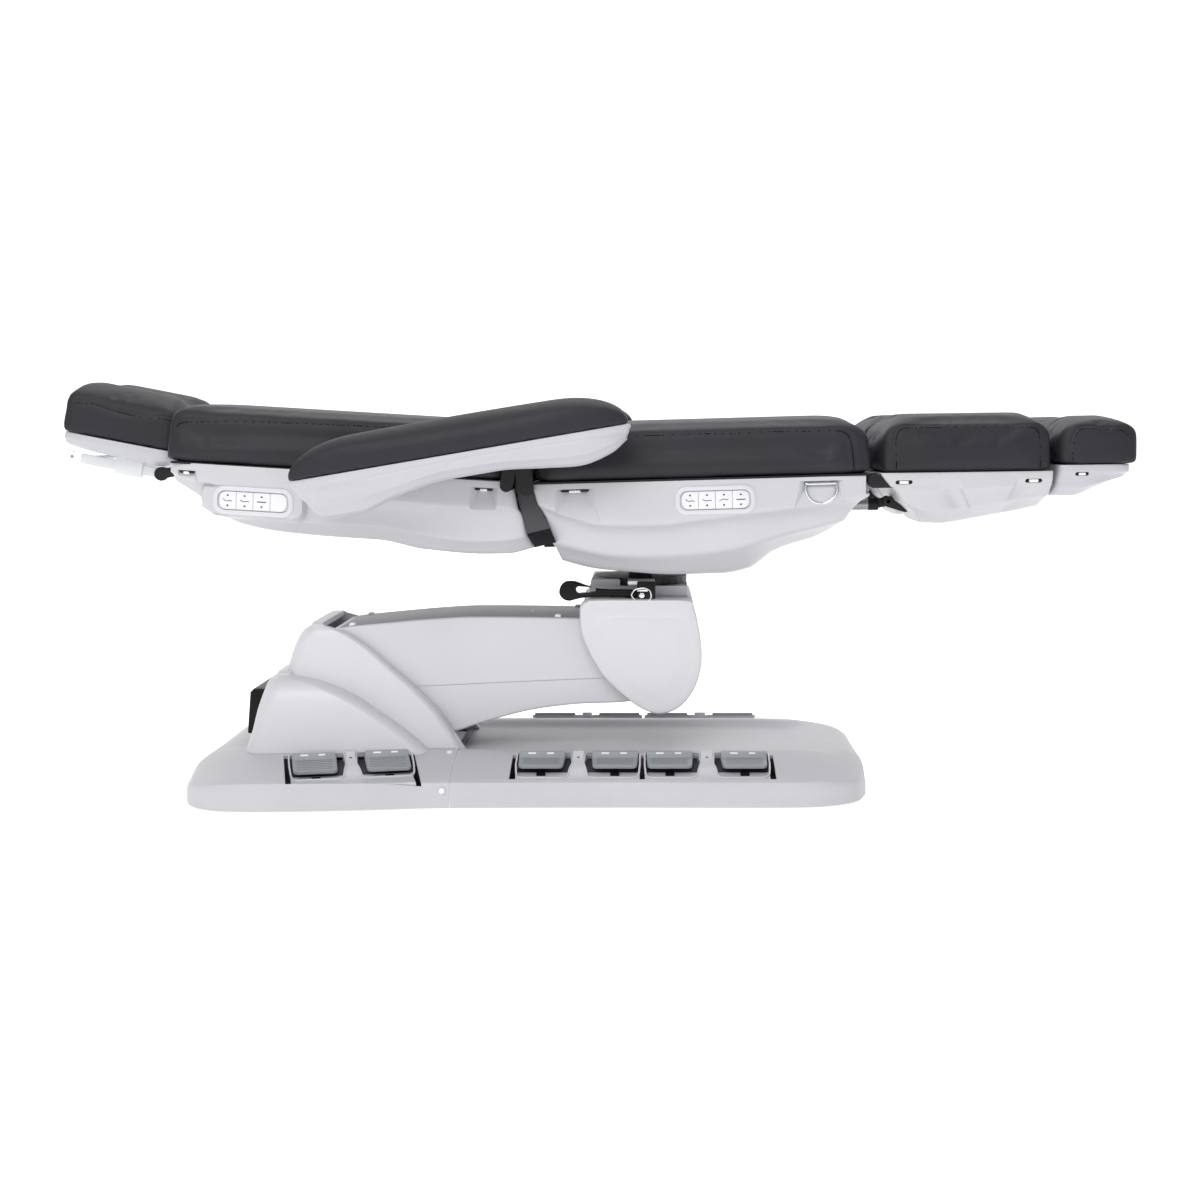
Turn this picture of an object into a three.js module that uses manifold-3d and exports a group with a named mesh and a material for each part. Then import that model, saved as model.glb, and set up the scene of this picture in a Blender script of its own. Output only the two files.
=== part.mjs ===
import * as THREE from "three";
import { mergeVertices } from "three/addons/utils/BufferGeometryUtils.js";
import Module from "manifold-3d";

// Electric spa treatment table: a pedal base, a lift arm, a swivelling seat and the sections hinged to it.
// Millimetres, +X towards the foot end, +Y to the far side, +Z up, the floor at Z = 0.

const wasm = await Module();
wasm.setup();

// Driving dimensions shared by several pieces
const gap = 0.4; // between pieces that touch
const overrun = 20; // a cut's reach past the face it opens
const overlap = 1; // how far a piece runs into what it is fused to
const sides = { pin: 10, disc: 14, rod: 8 };
const wall = { shell: 6, skin: 6, plate: 6, side: 14, end: 8 };
const top = { half: 285, sill: 4.4, deck: 4 };
const seatLength = 592;
const kneeFromSeat = -89;
const legFromSeat = -78.1;
const backLength = 585;
const backEnd = -148.7 - backLength;

// Where each section of the top lies: its origin on the line between cushion and shell, and its slope
const section = {
  seat: { x: -95.8, z: 579.1, slope: 1.6 },
  back: { x: -148.7, z: 582.8, slope: -3.35 },
  head: { x: backEnd - 35.1, z: 631.6, slope: -10.9 },
  leg: { x: seatLength + legFromSeat, z: 595.7, slope: 0.76 },
  arm: { x: -505.2, z: 583.2, slope: 9.7 },
};

// The pivots, as [x, z] in the part's frame
const liftRear = [-470, 236];
const liftFront = [100, 262];
const linkDrop = 86;
const liftMotorFoot = [-420, 75];
const liftMotorLug = [-120, 215];
const swivelX = 90;
const tiltPivot = [swivelX, 455];
const reclinePivot = [-122, 672];
const armPivot = [-122, 632];
const kneePivot = [seatLength + kneeFromSeat, 581];
const backMotorFoot = [170, 455];
const backMotorLug = [-148, 492];
const headPivot = [backEnd - 66.7, 589.7];
// Half width of the slots that the back motor passes through
const motorHalf = 19;

// Small helpers for solids
const vector = (x, y, z) => new THREE.Vector3(x, y, z);
const radians = (degrees) => THREE.MathUtils.degToRad(degrees);

function solid(geometry) {
  const bare = geometry.clone();
  bare.deleteAttribute("normal");
  bare.deleteAttribute("uv");
  const merged = mergeVertices(bare.index ? bare.toNonIndexed() : bare, 1e-4);
  return new wasm.Manifold(
    new wasm.Mesh({
      numProp: 3,
      vertProperties: merged.attributes.position.array,
      triVerts: new Uint32Array(merged.index.array),
    }),
  );
}

function geometryOf(body) {
  const mesh = body.getMesh();
  const geometry = new THREE.BufferGeometry();
  geometry.setAttribute("position", new THREE.BufferAttribute(mesh.vertProperties, 3));
  geometry.setIndex(new THREE.BufferAttribute(mesh.triVerts, 1));
  return geometry.toNonIndexed();
}

const join = (first, ...rest) => rest.reduce((sum, other) => sum.add(other), first);
const cut = (first, ...rest) => rest.reduce((left, other) => left.subtract(other), first);

function box(x0, x1, y0, y1, z0, z1) {
  const block = new THREE.BoxGeometry(x1 - x0, y1 - y0, z1 - z0);
  block.translate((x0 + x1) / 2, (y0 + y1) / 2, (z0 + z1) / 2);
  return solid(block);
}

// A round bar along Y between two places, centred on [x, z]
function barY(centre, radius, y0, y1, count = sides.pin) {
  const bar = new THREE.CylinderGeometry(radius, radius, y1 - y0, count);
  bar.translate(centre[0], (y0 + y1) / 2, centre[1]);
  return solid(bar);
}

// A bore that a round bar of the given radius turns in without touching
const boreRadius = (radius, count = sides.pin) => (radius + gap) / Math.cos(Math.PI / count);

function barX(y, z, radius, x0, x1, count = sides.rod) {
  const bar = new THREE.CylinderGeometry(radius, radius, x1 - x0, count);
  bar.rotateZ(-Math.PI / 2);
  bar.translate((x0 + x1) / 2, y, z);
  return solid(bar);
}

function barZ(x, y, radius, z0, z1, count = sides.rod) {
  const bar = new THREE.CylinderGeometry(radius, radius, z1 - z0, count);
  bar.rotateX(Math.PI / 2);
  bar.translate(x, y, (z0 + z1) / 2);
  return solid(bar);
}

// A plate with a side outline of [x, z] points, between two Y places
function plate(outline, y0, y1, bevel = 0) {
  const shape = new THREE.Shape(outline.map(([x, z]) => new THREE.Vector2(x, z)));
  const slab = new THREE.ExtrudeGeometry(shape, {
    depth: y1 - y0 - 2 * bevel,
    bevelEnabled: bevel > 0,
    bevelThickness: bevel,
    bevelSize: bevel,
    bevelOffset: -bevel,
    bevelSegments: 2,
    curveSegments: 6,
    steps: 1,
  });
  slab.rotateX(Math.PI / 2);
  slab.translate(0, y1 - bevel, 0);
  return solid(slab);
}

// A flat bar with round ends between two [x, z] points
function strap(from, to, radius, y0, y1) {
  const along = new THREE.Vector2(to[0] - from[0], to[1] - from[1]);
  const turn = along.angle();
  const shape = new THREE.Shape();
  shape.absarc(0, 0, radius, Math.PI / 2, (3 * Math.PI) / 2);
  shape.absarc(along.length(), 0, radius, -Math.PI / 2, Math.PI / 2);
  const slab = new THREE.ExtrudeGeometry(shape, { depth: y1 - y0, bevelEnabled: false, curveSegments: 3 });
  slab.rotateZ(turn);
  slab.translate(from[0], from[1], 0);
  slab.rotateX(Math.PI / 2);
  slab.translate(0, y1, 0);
  return solid(slab);
}

// A closed skin over rings of equal count, turned to face out
function loft(rings) {
  const count = rings[0].length;
  const faces = [];
  const middle = (ring) => ring.reduce((sum, p) => sum.add(p), vector(0, 0, 0)).divideScalar(count);
  for (let i = 0; i + 1 < rings.length; i++)
    for (let j = 0; j < count; j++) {
      const k = (j + 1) % count;
      faces.push([rings[i][j], rings[i + 1][j], rings[i + 1][k]]);
      faces.push([rings[i][j], rings[i + 1][k], rings[i][k]]);
    }
  for (const [ring, back] of [[rings[0], false], [rings.at(-1), true]]) {
    const centre = middle(ring);
    for (let j = 0; j < count; j++) {
      const k = (j + 1) % count;
      faces.push(back ? [centre, ring[k], ring[j]] : [centre, ring[j], ring[k]]);
    }
  }
  const volume = faces.reduce((sum, [a, b, c]) => sum + a.dot(b.clone().cross(c)), 0);
  const points = faces.flatMap((f) => (volume > 0 ? f : [f[0], f[2], f[1]]));
  return solid(new THREE.BufferGeometry().setFromPoints(points));
}

// A moulded tray below a cushion. Each row holds shares of length and depth,
// [rim x, upper x, upper z, lower x, lower z, keel x, keel z], and inset takes it in for the hollow
function tray(spec, inset) {
  const { rows, length, depth, halves, planShares, centre = 0, rimZ = -top.sill } = spec;
  const { side = 0, floor = 0, end = 0 } = inset ?? {};
  const xs = rows.map((row) => row[0] * length);
  const low = Math.min(...xs);
  const high = Math.max(...xs);
  const mid = (low + high) / 2;
  const squeeze = 1 - (2 * end) / (high - low);
  const rimHeight = inset ? rimZ + overrun : rimZ;
  return loft(
    rows.map((row, i) => {
      const line = [
        [row[0] * length, rimHeight],
        [row[1] * length, floor - row[2] * depth],
        [row[3] * length, floor - row[4] * depth],
        [row[5] * length, floor - row[6] * depth],
      ];
      const right = line.map(([x, z], j) => {
        const half = halves[j] * planShares[i] - side;
        return [mid + (x - mid) * squeeze, half, z];
      });
      return [
        ...right.map(([x, y, z]) => vector(x, centre + y, z)),
        ...right.reverse().map(([x, y, z]) => vector(x, centre - y, z)),
      ];
    }),
  );
}

const hollowTray = (spec, inset) => cut(tray(spec), tray(spec, inset));

// A crowned cushion with drawn-in sides. Shares of half width, of side height and of crown,
// from the foot of the side to the middle
const cushionShares = [
  [0.965, 0, 0],
  [1, 0.42, 0],
  [0.985, 0.97, 0],
  [0.94, 1, 0.3],
  [0.72, 1, 0.74],
  [0.38, 1, 0.95],
];
const lobedShares = [
  [0.965, 0, 0],
  [1, 0.42, 0],
  [0.985, 0.97, 0],
  [0.9, 1, 0.45],
  [0.6, 1, 1],
  [0.22, 1, 0.55],
];
const lobeMiddleShare = 0.4;

// Cushion sizes: how far it runs past its tray at each end and at its sides, how tall its sides are,
// how much the crown adds, and how far its corners draw in and lift
const pad = {
  seat: {
    before: 2, beyond: 5, sideOver: 5, side: 86, crown: 19, corner: 62, lift: 16,
    endShare: 0.32, planShare: 0.28,
  },
  back: {
    before: 5, beyond: 0, sideOver: 5, side: 90, crown: 20, corner: 60, lift: 10,
    endShare: 0.25, planShare: 0.28,
  },
  head: {
    before: 0, beyond: 1, sideOver: 1, side: 66, crown: 24, corner: 46, lift: 8,
    endShare: 0.25, planShare: 0.45,
  },
  arm: {
    before: 0, beyond: 0, sideOver: 1, side: 38, crown: 23, corner: 120, lift: 0,
    endShare: 0.85, planShare: 0.2,
  },
  calf: {
    before: -2, beyond: -1, sideOver: 1, side: 84, crown: 19, corner: 36, lift: 8,
    endShare: 0.3, planShare: 0.3,
  },
  foot: {
    before: 0, beyond: 6.4, sideOver: 1, side: 70, crown: 14, corner: 40, lift: 6,
    endShare: 0.3, planShare: 0.4,
  },
};
const padSteps = { long: 16, usual: 12, short: 10 };

// A cushion's sizes over a tray that runs between two x places
const onTray = (sizes, from, to, half) => ({
  ...sizes,
  x0: from - sizes.before,
  x1: to + sizes.beyond,
  half: half + sizes.sideOver,
});

function cushion(spec) {
  const { x0, x1, half, side, crown, corner, lift, steps, centre = 0 } = spec;
  const { shares = cushionShares, middleShare = 1 } = spec;
  const rings = [];
  for (let i = 0; i <= steps; i++) {
    const along = (1 - Math.cos((Math.PI * i) / steps)) / 2;
    const reach = Math.min(1, (Math.min(along, 1 - along) * (x1 - x0)) / corner);
    const round = Math.sqrt(1 - (1 - reach) ** 2);
    const x = x0 + (x1 - x0) * along;
    const foot = lift * (1 - round);
    const rim = side * (1 - spec.endShare * (1 - round));
    const width = half - corner * spec.planShare * (1 - round);
    const right = shares.map(([y, up, over]) => [
      width * y,
      foot + (rim - foot) * up + crown * round * over,
    ]);
    rings.push([
      ...right.map(([y, z]) => vector(x, centre + y, z)),
      vector(x, centre, rim + crown * round * middleShare),
      ...right.reverse().map(([y, z]) => vector(x, centre - y, z)),
    ]);
  }
  return loft(rings);
}

// A smooth closed tube through points, for the pull rings
function closedTube(points, radius, count) {
  const faces = [];
  const rings = points.map((p, i) => {
    const ahead = points[(i + 1) % points.length];
    const behind = points.at(i - 1);
    const along = ahead.clone().sub(behind).normalize();
    const across = vector(0, 1, 0);
    const up = along.clone().cross(across).normalize();
    return Array.from({ length: count }, (_, j) => {
      const angle = (2 * Math.PI * j) / count;
      const out = across.clone().multiplyScalar(Math.cos(angle) * radius);
      return out.add(up.clone().multiplyScalar(Math.sin(angle) * radius)).add(p);
    });
  });
  rings.forEach((ring, i) => {
    const next = rings[(i + 1) % rings.length];
    ring.forEach((p, j) => {
      const k = (j + 1) % count;
      faces.push([p, next[j], next[k]], [p, next[k], ring[k]]);
    });
  });
  const volume = faces.reduce((sum, [a, b, c]) => sum + a.dot(b.clone().cross(c)), 0);
  const corners = faces.flatMap((f) => (volume > 0 ? f : [f[0], f[2], f[1]]));
  return solid(new THREE.BufferGeometry().setFromPoints(corners));
}

// A rounded rectangle in the XZ plane, as a slab between two Y places
function pill(x0, x1, z0, z1, radii, y0, y1) {
  const { left, right } = radii;
  const shape = new THREE.Shape();
  shape.moveTo(x0 + left, z0);
  shape.lineTo(x1 - right, z0);
  shape.absarc(x1 - right, z0 + right, right, -Math.PI / 2, 0);
  shape.absarc(x1 - right, z1 - right, right, 0, Math.PI / 2);
  shape.absarc(x0 + left, z1 - left, left, Math.PI / 2, Math.PI);
  shape.absarc(x0 + left, z0 + left, left, Math.PI, 1.5 * Math.PI);
  const slab = new THREE.ExtrudeGeometry(shape, { depth: y1 - y0, bevelEnabled: false, curveSegments: 2 });
  slab.rotateX(Math.PI / 2);
  slab.translate(0, y1, 0);
  return solid(slab);
}

// Two Y places on one side of the table, in rising order
const pair = (side, a, b) => [side * a, side * b].sort((p, q) => p - q);

// A place of the part's frame, [x, z], seen from a section
function inSection(name, [x, z]) {
  const { x: ox, z: oz, slope } = section[name];
  const c = Math.cos(radians(slope));
  const s = Math.sin(radians(slope));
  return [(x - ox) * c + (z - oz) * s, (z - oz) * c - (x - ox) * s];
}

// Colours of the finished table
const finish = {
  moulding: { color: 0xd9d9dd, roughness: 0.42, metalness: 0 },
  armSkin: { color: 0xc9c9ce, roughness: 0.45, metalness: 0 },
  leatherette: { color: 0x3c3b41, roughness: 0.55, metalness: 0 },
  steel: { color: 0x17171a, roughness: 0.5, metalness: 0.6 },
  pedal: { color: 0x8e9094, roughness: 0.6, metalness: 0 },
  key: { color: 0xe9e9ec, roughness: 0.45, metalness: 0 },
  chrome: { color: 0xd0d2d5, roughness: 0.12, metalness: 1 },
  aluminium: { color: 0xc8cacd, roughness: 0.3, metalness: 1 },
  black: { color: 0x141416, roughness: 0.5, metalness: 0 },
};

const table = new THREE.Group();
const groups = {};
for (const [name, { x, z, slope }] of Object.entries(section)) {
  const group = new THREE.Group();
  group.position.set(x, 0, z);
  group.rotation.y = -radians(slope);
  groups[name] = group;
  table.add(group);
}

function add(name, body, look, parent = table) {
  const mesh = new THREE.Mesh(geometryOf(body), new THREE.MeshStandardMaterial(finish[look]));
  mesh.name = name;
  parent.add(mesh);
}

// Base cover: one long moulding, low at the rim, with a raised crest each side and a shallow trough between
const base = {
  x0: -738,
  length: 1243,
  half: 308,
  rim: 4,
  wallTop: 50,
  crest: 84,
  crestIn: 136,
  trough: 70,
  troughIn: 40,
  edge: 12,
};
const crestAt = base.half - base.crestIn;
const troughAt = crestAt - base.troughIn;

// Shares along the length, of half width, wall top and crest height
const baseShares = [
  [0, 0.72, 0.5, 0.56],
  [0.008, 0.86, 0.7, 0.68],
  [0.03, 1.01, 0.92, 0.84],
  [0.075, 1.09, 1.06, 0.96],
  [0.145, 1.1, 1.1, 1.02],
  [0.27, 1.06, 1.06, 1.01],
  [0.39, 1, 1, 1],
  [0.62, 0.99, 1, 1],
  [0.835, 0.995, 1, 1],
  [0.908, 0.985, 1, 0.95],
  [0.956, 0.93, 0.92, 0.83],
  [0.988, 0.81, 0.76, 0.71],
  [1, 0.66, 0.58, 0.6],
];

function baseSkin(inset, rise = 0) {
  const squeeze = 1 - (2 * inset) / base.length;
  return loft(
    baseShares.map(([along, wide, tall, high]) => {
      const x = base.x0 + base.length * (0.5 + (along - 0.5) * squeeze);
      const half = base.half * wide - inset;
      const crestY = Math.min(crestAt, half - crestAt / 4);
      const troughY = (crestY * troughAt) / crestAt;
      const fall = base.crest - base.crest * high;
      const foot = inset ? base.rim - overrun : base.rim;
      const right = [
        [half, foot],
        [half - base.rim / 4, base.wallTop * tall - base.edge - inset + rise],
        [half - base.edge, base.wallTop * tall - inset + rise],
        [crestY, base.crest * high - inset + rise],
        [troughY, base.trough - fall - inset + rise],
      ];
      return [
        ...right.map(([y, z]) => vector(x, y, z)),
        ...right.reverse().map(([y, z]) => vector(x, -y, z)),
      ];
    }),
  );
}

// Pedals: pads on the sloping shoulder, hinged along their upper edge, in wells that hold two pads each
const pedal = {
  width: 86,
  rearWidth: 92,
  length: 62,
  thick: 8,
  innerY: crestAt + 29,
  innerZ: 75.5,
  slope: 16.5,
  travel: 7,
  wellDeep: 22,
  wellFloor: 4,
  wellEnd: 12,
  sideGap: 5,
  dome: 1.5,
};
const frontPedalShare = 1018 / 1243;
const rearPedalShare = 231 / 1243;
const frontPedal = base.x0 + frontPedalShare * base.length;
const rearPedal = base.x0 + rearPedalShare * base.length;
const pedalStep = { pair: 136, second: 134, wells: 100 };
const pedalPlaces = [
  ["front_1", frontPedal - pedalStep.pair - pedalStep.wells - pedalStep.second, pedal.width],
  ["front_2", frontPedal - pedalStep.pair - pedalStep.wells, pedal.width],
  ["front_3", frontPedal - pedalStep.pair, pedal.width],
  ["front_4", frontPedal, pedal.width],
  ["rear_1", rearPedal, pedal.rearWidth],
  ["rear_2", rearPedal + pedalStep.pair, pedal.rearWidth],
];
const wells = [
  [0, 1],
  [2, 3],
  [4, 5],
];

// A solid drawn on a shoulder's own plane: x along the table, y outwards down the slope, z out of the deck
function onShoulder(body, far) {
  const tilt = radians(pedal.slope);
  const move = new THREE.Matrix4().makeRotationX(tilt);
  const flip = new THREE.Matrix4().makeScale(1, -1, 1);
  const place = new THREE.Matrix4().makeTranslation(0, -pedal.innerY, pedal.innerZ);
  const whole = place.multiply(move).multiply(flip);
  if (far) whole.premultiply(new THREE.Matrix4().makeScale(1, -1, 1));
  const placed = geometryOf(body).applyMatrix4(whole);
  if (whole.determinant() < 0) {
    const p = placed.attributes.position;
    for (let i = 0; i < p.count; i += 3)
      for (let axis = 0; axis < 3; axis++) {
        const held = p.getComponent(i + 1, axis);
        p.setComponent(i + 1, axis, p.getComponent(i + 2, axis));
        p.setComponent(i + 2, axis, held);
      }
  }
  return solid(placed);
}

function pedalPad(x, width) {
  const half = width / 2;
  const ring = (y, thick, low) => [
    vector(x - half, y, low),
    vector(x + half, y, low),
    vector(x + half, y, low + thick),
    vector(x, y, low + thick + pedal.dome),
    vector(x - half, y, low + thick),
  ];
  const low = -pedal.thick;
  return loft([
    ring(0, pedal.thick / 2, low + pedal.thick / 4),
    ring(pedal.thick / 2, pedal.thick, low),
    ring(pedal.length - pedal.thick / 2, pedal.thick, low),
    ring(pedal.length, pedal.thick / 2, low),
  ]);
}

function pedalWell(members) {
  const spans = members.map((i) => [
    pedalPlaces[i][1] - pedalPlaces[i][2] / 2 - pedal.sideGap,
    pedalPlaces[i][1] + pedalPlaces[i][2] / 2 + pedal.sideGap,
  ]);
  const block = box(
    spans[0][0] - pedal.wellFloor,
    spans[1][1] + pedal.wellFloor,
    -gap - pedal.wellFloor,
    pedal.length + pedal.wellEnd + pedal.wellFloor,
    -pedal.wellDeep - pedal.wellFloor,
    -wall.shell / 2,
  );
  const pockets = spans.map(([x0, x1]) =>
    box(x0, x1, -gap, pedal.length + pedal.wellEnd, -pedal.wellDeep, overrun),
  );
  return { block, pockets };
}

// Steel frame inside the base: floor plate on four feet, ears for the lift arm, its link and its motor
const frameIn = { rear: 48, front: 50, foot: 105, rearFoot: 128, rearPost: 73 };
const baseEnd = base.x0 + base.length;
const middlePost = 60;
const frame = {
  x0: base.x0 + frameIn.rear,
  x1: baseEnd - frameIn.front,
  half: 262,
  z0: 8,
  thick: 6,
  footRadius: 20,
  footX: [base.x0 + frameIn.rearFoot, baseEnd - frameIn.foot],
  footY: 225,
  earY: 84,
  earRadius: 26,
  pinRadius: 12,
  pinReach: 96,
  motorEarY: 20,
  motorPin: 8,
  postRadius: 9,
  postX: [base.x0 + frameIn.rearPost, middlePost, baseEnd - frameIn.foot],
};
const frameTop = frame.z0 + frame.thick;
const linkRear = [liftRear[0], liftRear[1] - linkDrop];
const linkFront = [liftFront[0], liftFront[1] - linkDrop];

// The lift arm's profile. Outline shares of the span between its pivots and of its depth,
// from the rear top round to the rear
const arm = { half: 103, depth: 170, floorZ: 150, roofEnd: 20, boss: 20 };
const armSpan = liftFront[0] - liftRear[0];
const armTopShares = [
  [-0.125, 0.6],
  [-0.061, 0.8],
  [-0.016, 0.876],
  [0.123, 0.93],
  [0.316, 0.986],
  [0.46, 1.003],
  [0.775, 0.988],
  [0.93, 0.95],
];
const armRestShares = [
  [1.06, 0.86],
  [1.115, 0.73],
  [1.12, 0.56],
  [1.09, 0.3],
  [1.035, 0.13],
  [0.934, 0.047],
  [0.769, 0.021],
  [0.613, -0.049],
  [0.456, -0.189],
  [0.341, -0.314],
  [0.211, -0.388],
  [0.088, -0.376],
  [-0.018, -0.265],
  [-0.088, -0.059],
  [-0.13, 0.235],
];
const armPoint = ([x, z]) => [liftRear[0] + x * armSpan, arm.floorZ + z * arm.depth];

// The hood over the arm's rear pivot: level rings of [z, rear x, front x, half width] as shares
const hood = { x0: -650, length: 412, z0: 66, height: 240, half: 197, slotHalf: 109, slotX: -508 };
const finShares = [
  [0, 0.12, 1, 0.79],
  [0.31, 0.136, 0.879, 0.752],
  [0.5, 0.155, 0.774, 0.72],
  [0.67, 0.182, 0.66, 0.68],
  [0.845, 0.214, 0.541, 0.64],
  [0.955, 0.25, 0.437, 0.61],
  [1, 0.29, 0.364, 0.57],
];
const humpShares = [
  [0, 0.005, 0.874, 1],
  [0.21, 0.046, 0.728, 0.985],
  [0.36, 0.068, 0.604, 0.97],
  [0.49, 0.092, 0.481, 0.936],
  [0.588, 0.114, 0.328, 0.85],
  [0.625, 0.146, 0.218, 0.74],
];

function leaf(shares, inset, roundShare) {
  const count = 16;
  return loft(
    shares.map(([up, rear, front, wide], i) => {
      const low = inset && i === 0 ? overrun : 0;
      const high = i === shares.length - 1 ? inset : 0;
      const x0 = hood.x0 + rear * hood.length + inset;
      const x1 = hood.x0 + front * hood.length - inset;
      const half = hood.half * wide - inset;
      return Array.from({ length: count }, (_, j) => {
        const angle = (2 * Math.PI * (j + 0.5)) / count;
        const bend = (v) => Math.sign(v) * Math.abs(v) ** roundShare;
        const x = (x0 + x1) / 2 + ((x1 - x0) / 2) * bend(Math.cos(angle));
        return vector(x, half * bend(Math.sin(angle)), hood.z0 + up * hood.height - low - high);
      });
    }),
  );
}

const hoodRoundShare = 0.5;
const baseHole = { x0: -575, x1: -262, half: 118 };

// Rear panel with the power inlet, set in a window of the hump
const panel = {
  x0: -656,
  x1: -622,
  half: 104,
  z0: 98,
  z1: 184,
  lean: 14,
  inletX: 9,
  inletY: 24,
  inletZ: 14,
  inletDeep: 8,
};

{
  const outer = baseSkin(0);
  const parts = [outer.subtract(baseSkin(wall.shell))];
  const pockets = [];
  for (const members of wells)
    for (const far of [false, true]) {
      const { block, pockets: holes } = pedalWell(members);
      parts.push(onShoulder(block, far).intersect(outer));
      pockets.push(...holes.map((hole) => onShoulder(hole, far)));
    }
  for (const x of frame.postX)
    for (const side of [-1, 1]) {
      const y = (side * troughAt) / 2;
      parts.push(barZ(x, y, frame.postRadius, frameTop + gap, base.trough / 2 + base.rim));
      const boss = barZ(x, y, frame.postRadius, base.trough / 2, base.trough - wall.shell / 2);
      parts.push(boss.intersect(outer));
    }
  const { x0, x1, half } = baseHole;
  const hole = box(x0, x1, -half, half, base.trough / 2, base.crest + overrun);
  add("base_cover", cut(join(...parts), hole, ...pockets), "moulding");
}

for (const far of [false, true])
  for (const [place, x, width] of pedalPlaces)
    add(`pedal_${far ? "far" : "near"}_${place}`, onShoulder(pedalPad(x, width), far), "pedal");

{
  const { earY, earRadius, pinRadius, pinReach } = frame;
  const floor = box(frame.x0, frame.x1, -frame.half, frame.half, frame.z0, frameTop);
  const parts = [floor];
  for (const x of frame.footX)
    for (const side of [-1, 1])
      parts.push(barZ(x, side * frame.footY, frame.footRadius, 0, frameTop, sides.disc));
  for (const side of [-1, 1]) {
    const ear = pair(side, earY, earY + wall.plate);
    parts.push(strap([liftRear[0], frameTop + earRadius], liftRear, earRadius, ...ear));
    parts.push(box(liftRear[0] - earRadius, liftRear[0] + earRadius, ...ear, frame.z0, frameTop + earRadius));
    const small = pair(side, frame.motorEarY, frame.motorEarY + wall.plate);
    parts.push(strap([liftMotorFoot[0], frameTop], liftMotorFoot, 2 * frame.motorPin, ...small));
  }
  parts.push(barY(liftRear, pinRadius, -pinReach, pinReach));
  parts.push(barY(linkRear, pinRadius, -earY - wall.plate, earY + wall.plate));
  const motorReach = frame.motorEarY + wall.plate;
  parts.push(barY(liftMotorFoot, frame.motorPin, -motorReach, motorReach));
  const under = box(frame.x0, frame.x1, -frame.half, frame.half, -overrun - frame.z0, 0);
  add("base_frame", cut(join(...parts), under), "steel");
}

{
  const both = (inset) =>
    join(leaf(finShares, inset, hoodRoundShare), leaf(humpShares, inset, hoodRoundShare));
  const outside = both(0);
  const inside = both(wall.skin);
  const slot = box(
    hood.slotX, hood.x0 + hood.length + overrun, -hood.slotHalf, hood.slotHalf,
    hood.z0 - overrun, hood.z0 + hood.height + overrun,
  );
  const window = box(
    panel.x0 - overrun, panel.x1 + overrun, -panel.half - gap, panel.half + gap,
    panel.z0 - gap, panel.z1 + gap,
  );
  add("hood_cover", cut(outside, inside, slot, window, baseSkin(0, gap)), "moulding");

  const face = [
    [panel.x0, panel.z0],
    [panel.x0 + panel.lean / 2, panel.z1 - panel.lean / 2],
    [panel.x0 + panel.lean, panel.z1],
    [panel.x1, panel.z1],
    [panel.x1 - panel.lean / 2, panel.z0],
  ];
  const midZ = (panel.z0 + panel.z1) / 2;
  const inlet = box(
    panel.x0 - overrun, panel.x0 + panel.inletX + panel.inletDeep, -panel.inletY, panel.inletY,
    midZ - panel.inletZ, midZ + panel.inletZ,
  );
  add("rear_panel", cut(plate(face, -panel.half, panel.half), inlet), "black");
}

// Lift arm: a deep channel open below, with a boss for each pin inside its walls
const liftLug = { y: 11, thick: 7, radius: 15 };
{
  const outline = [...armTopShares, ...armRestShares].map(armPoint);
  const outer = plate(outline, -arm.half, arm.half);
  const inner = arm.half - wall.skin;
  const roof = armTopShares.map(armPoint).filter(([x]) => x < arm.roofEnd);
  const under = [
    [armPoint(armTopShares[0])[0] - overrun, roof[0][1] - wall.skin],
    ...roof.map(([x, z]) => [x, z - wall.skin]),
    [arm.roofEnd, roof.at(-1)[1] - wall.skin],
    [arm.roofEnd, 0],
    [armPoint(armTopShares[0])[0] - overrun, 0],
  ];
  const open = box(
    arm.roofEnd - gap, liftFront[0] + 2 * arm.depth, -inner, inner, 0, arm.floorZ + 2 * arm.depth,
  );
  const parts = [cut(outer, plate(under, -inner, inner), open)];
  const holes = [];
  const { earY, pinRadius, pinReach } = frame;
  const bossEnd = earY + wall.plate + gap;
  for (const pivot of [liftRear, liftFront])
    for (const side of [-1, 1]) {
      const y = pair(side, bossEnd, inner + wall.skin / 2);
      parts.push(barY(pivot, arm.boss, ...y));
      const deep = pair(side, bossEnd - overlap, pinReach + gap);
      holes.push(barY(pivot, boreRadius(pinRadius), ...deep));
    }
  // The lug that the lift motor pushes on: two webs from the roof
  const lug = liftLug;
  const roofZ = armPoint(armTopShares[5])[1] - wall.skin / 2;
  for (const side of [-1, 1]) {
    const y = pair(side, lug.y, lug.y + lug.thick);
    const [x, z] = liftMotorLug;
    parts.push(strap(liftMotorLug, [x, roofZ - lug.radius], lug.radius, ...y));
    parts.push(box(x - lug.radius, x + lug.radius, ...y, z, roofZ - wall.skin / 4));
  }
  add("lift_arm", cut(join(...parts), ...holes), "armSkin");
}

// Lower link of the parallelogram, inside the arm
const link = { half: 13, boss: 18, thick: 8 };
{
  const outer = frame.earY - 2 * gap;
  const parts = [];
  for (const side of [-1, 1]) {
    const y = pair(side, outer - link.thick, outer);
    parts.push(strap(linkRear, linkFront, link.half, ...y));
  }
  for (const pivot of [linkRear, linkFront]) parts.push(barY(pivot, link.boss, -outer, outer));
  const bores = [linkRear, linkFront].map((pivot) =>
    barY(pivot, boreRadius(frame.pinRadius), -outer - overrun, outer + overrun),
  );
  add("lift_link", cut(join(...parts), ...bores), "steel");
}

// A linear actuator between two pivots: a tube with its motor, and a rod that slides in it
const motor = { start: 16, bore: 40, eyeReach: 30, pinReach: 1.6, offShare: 0.8 };

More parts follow.
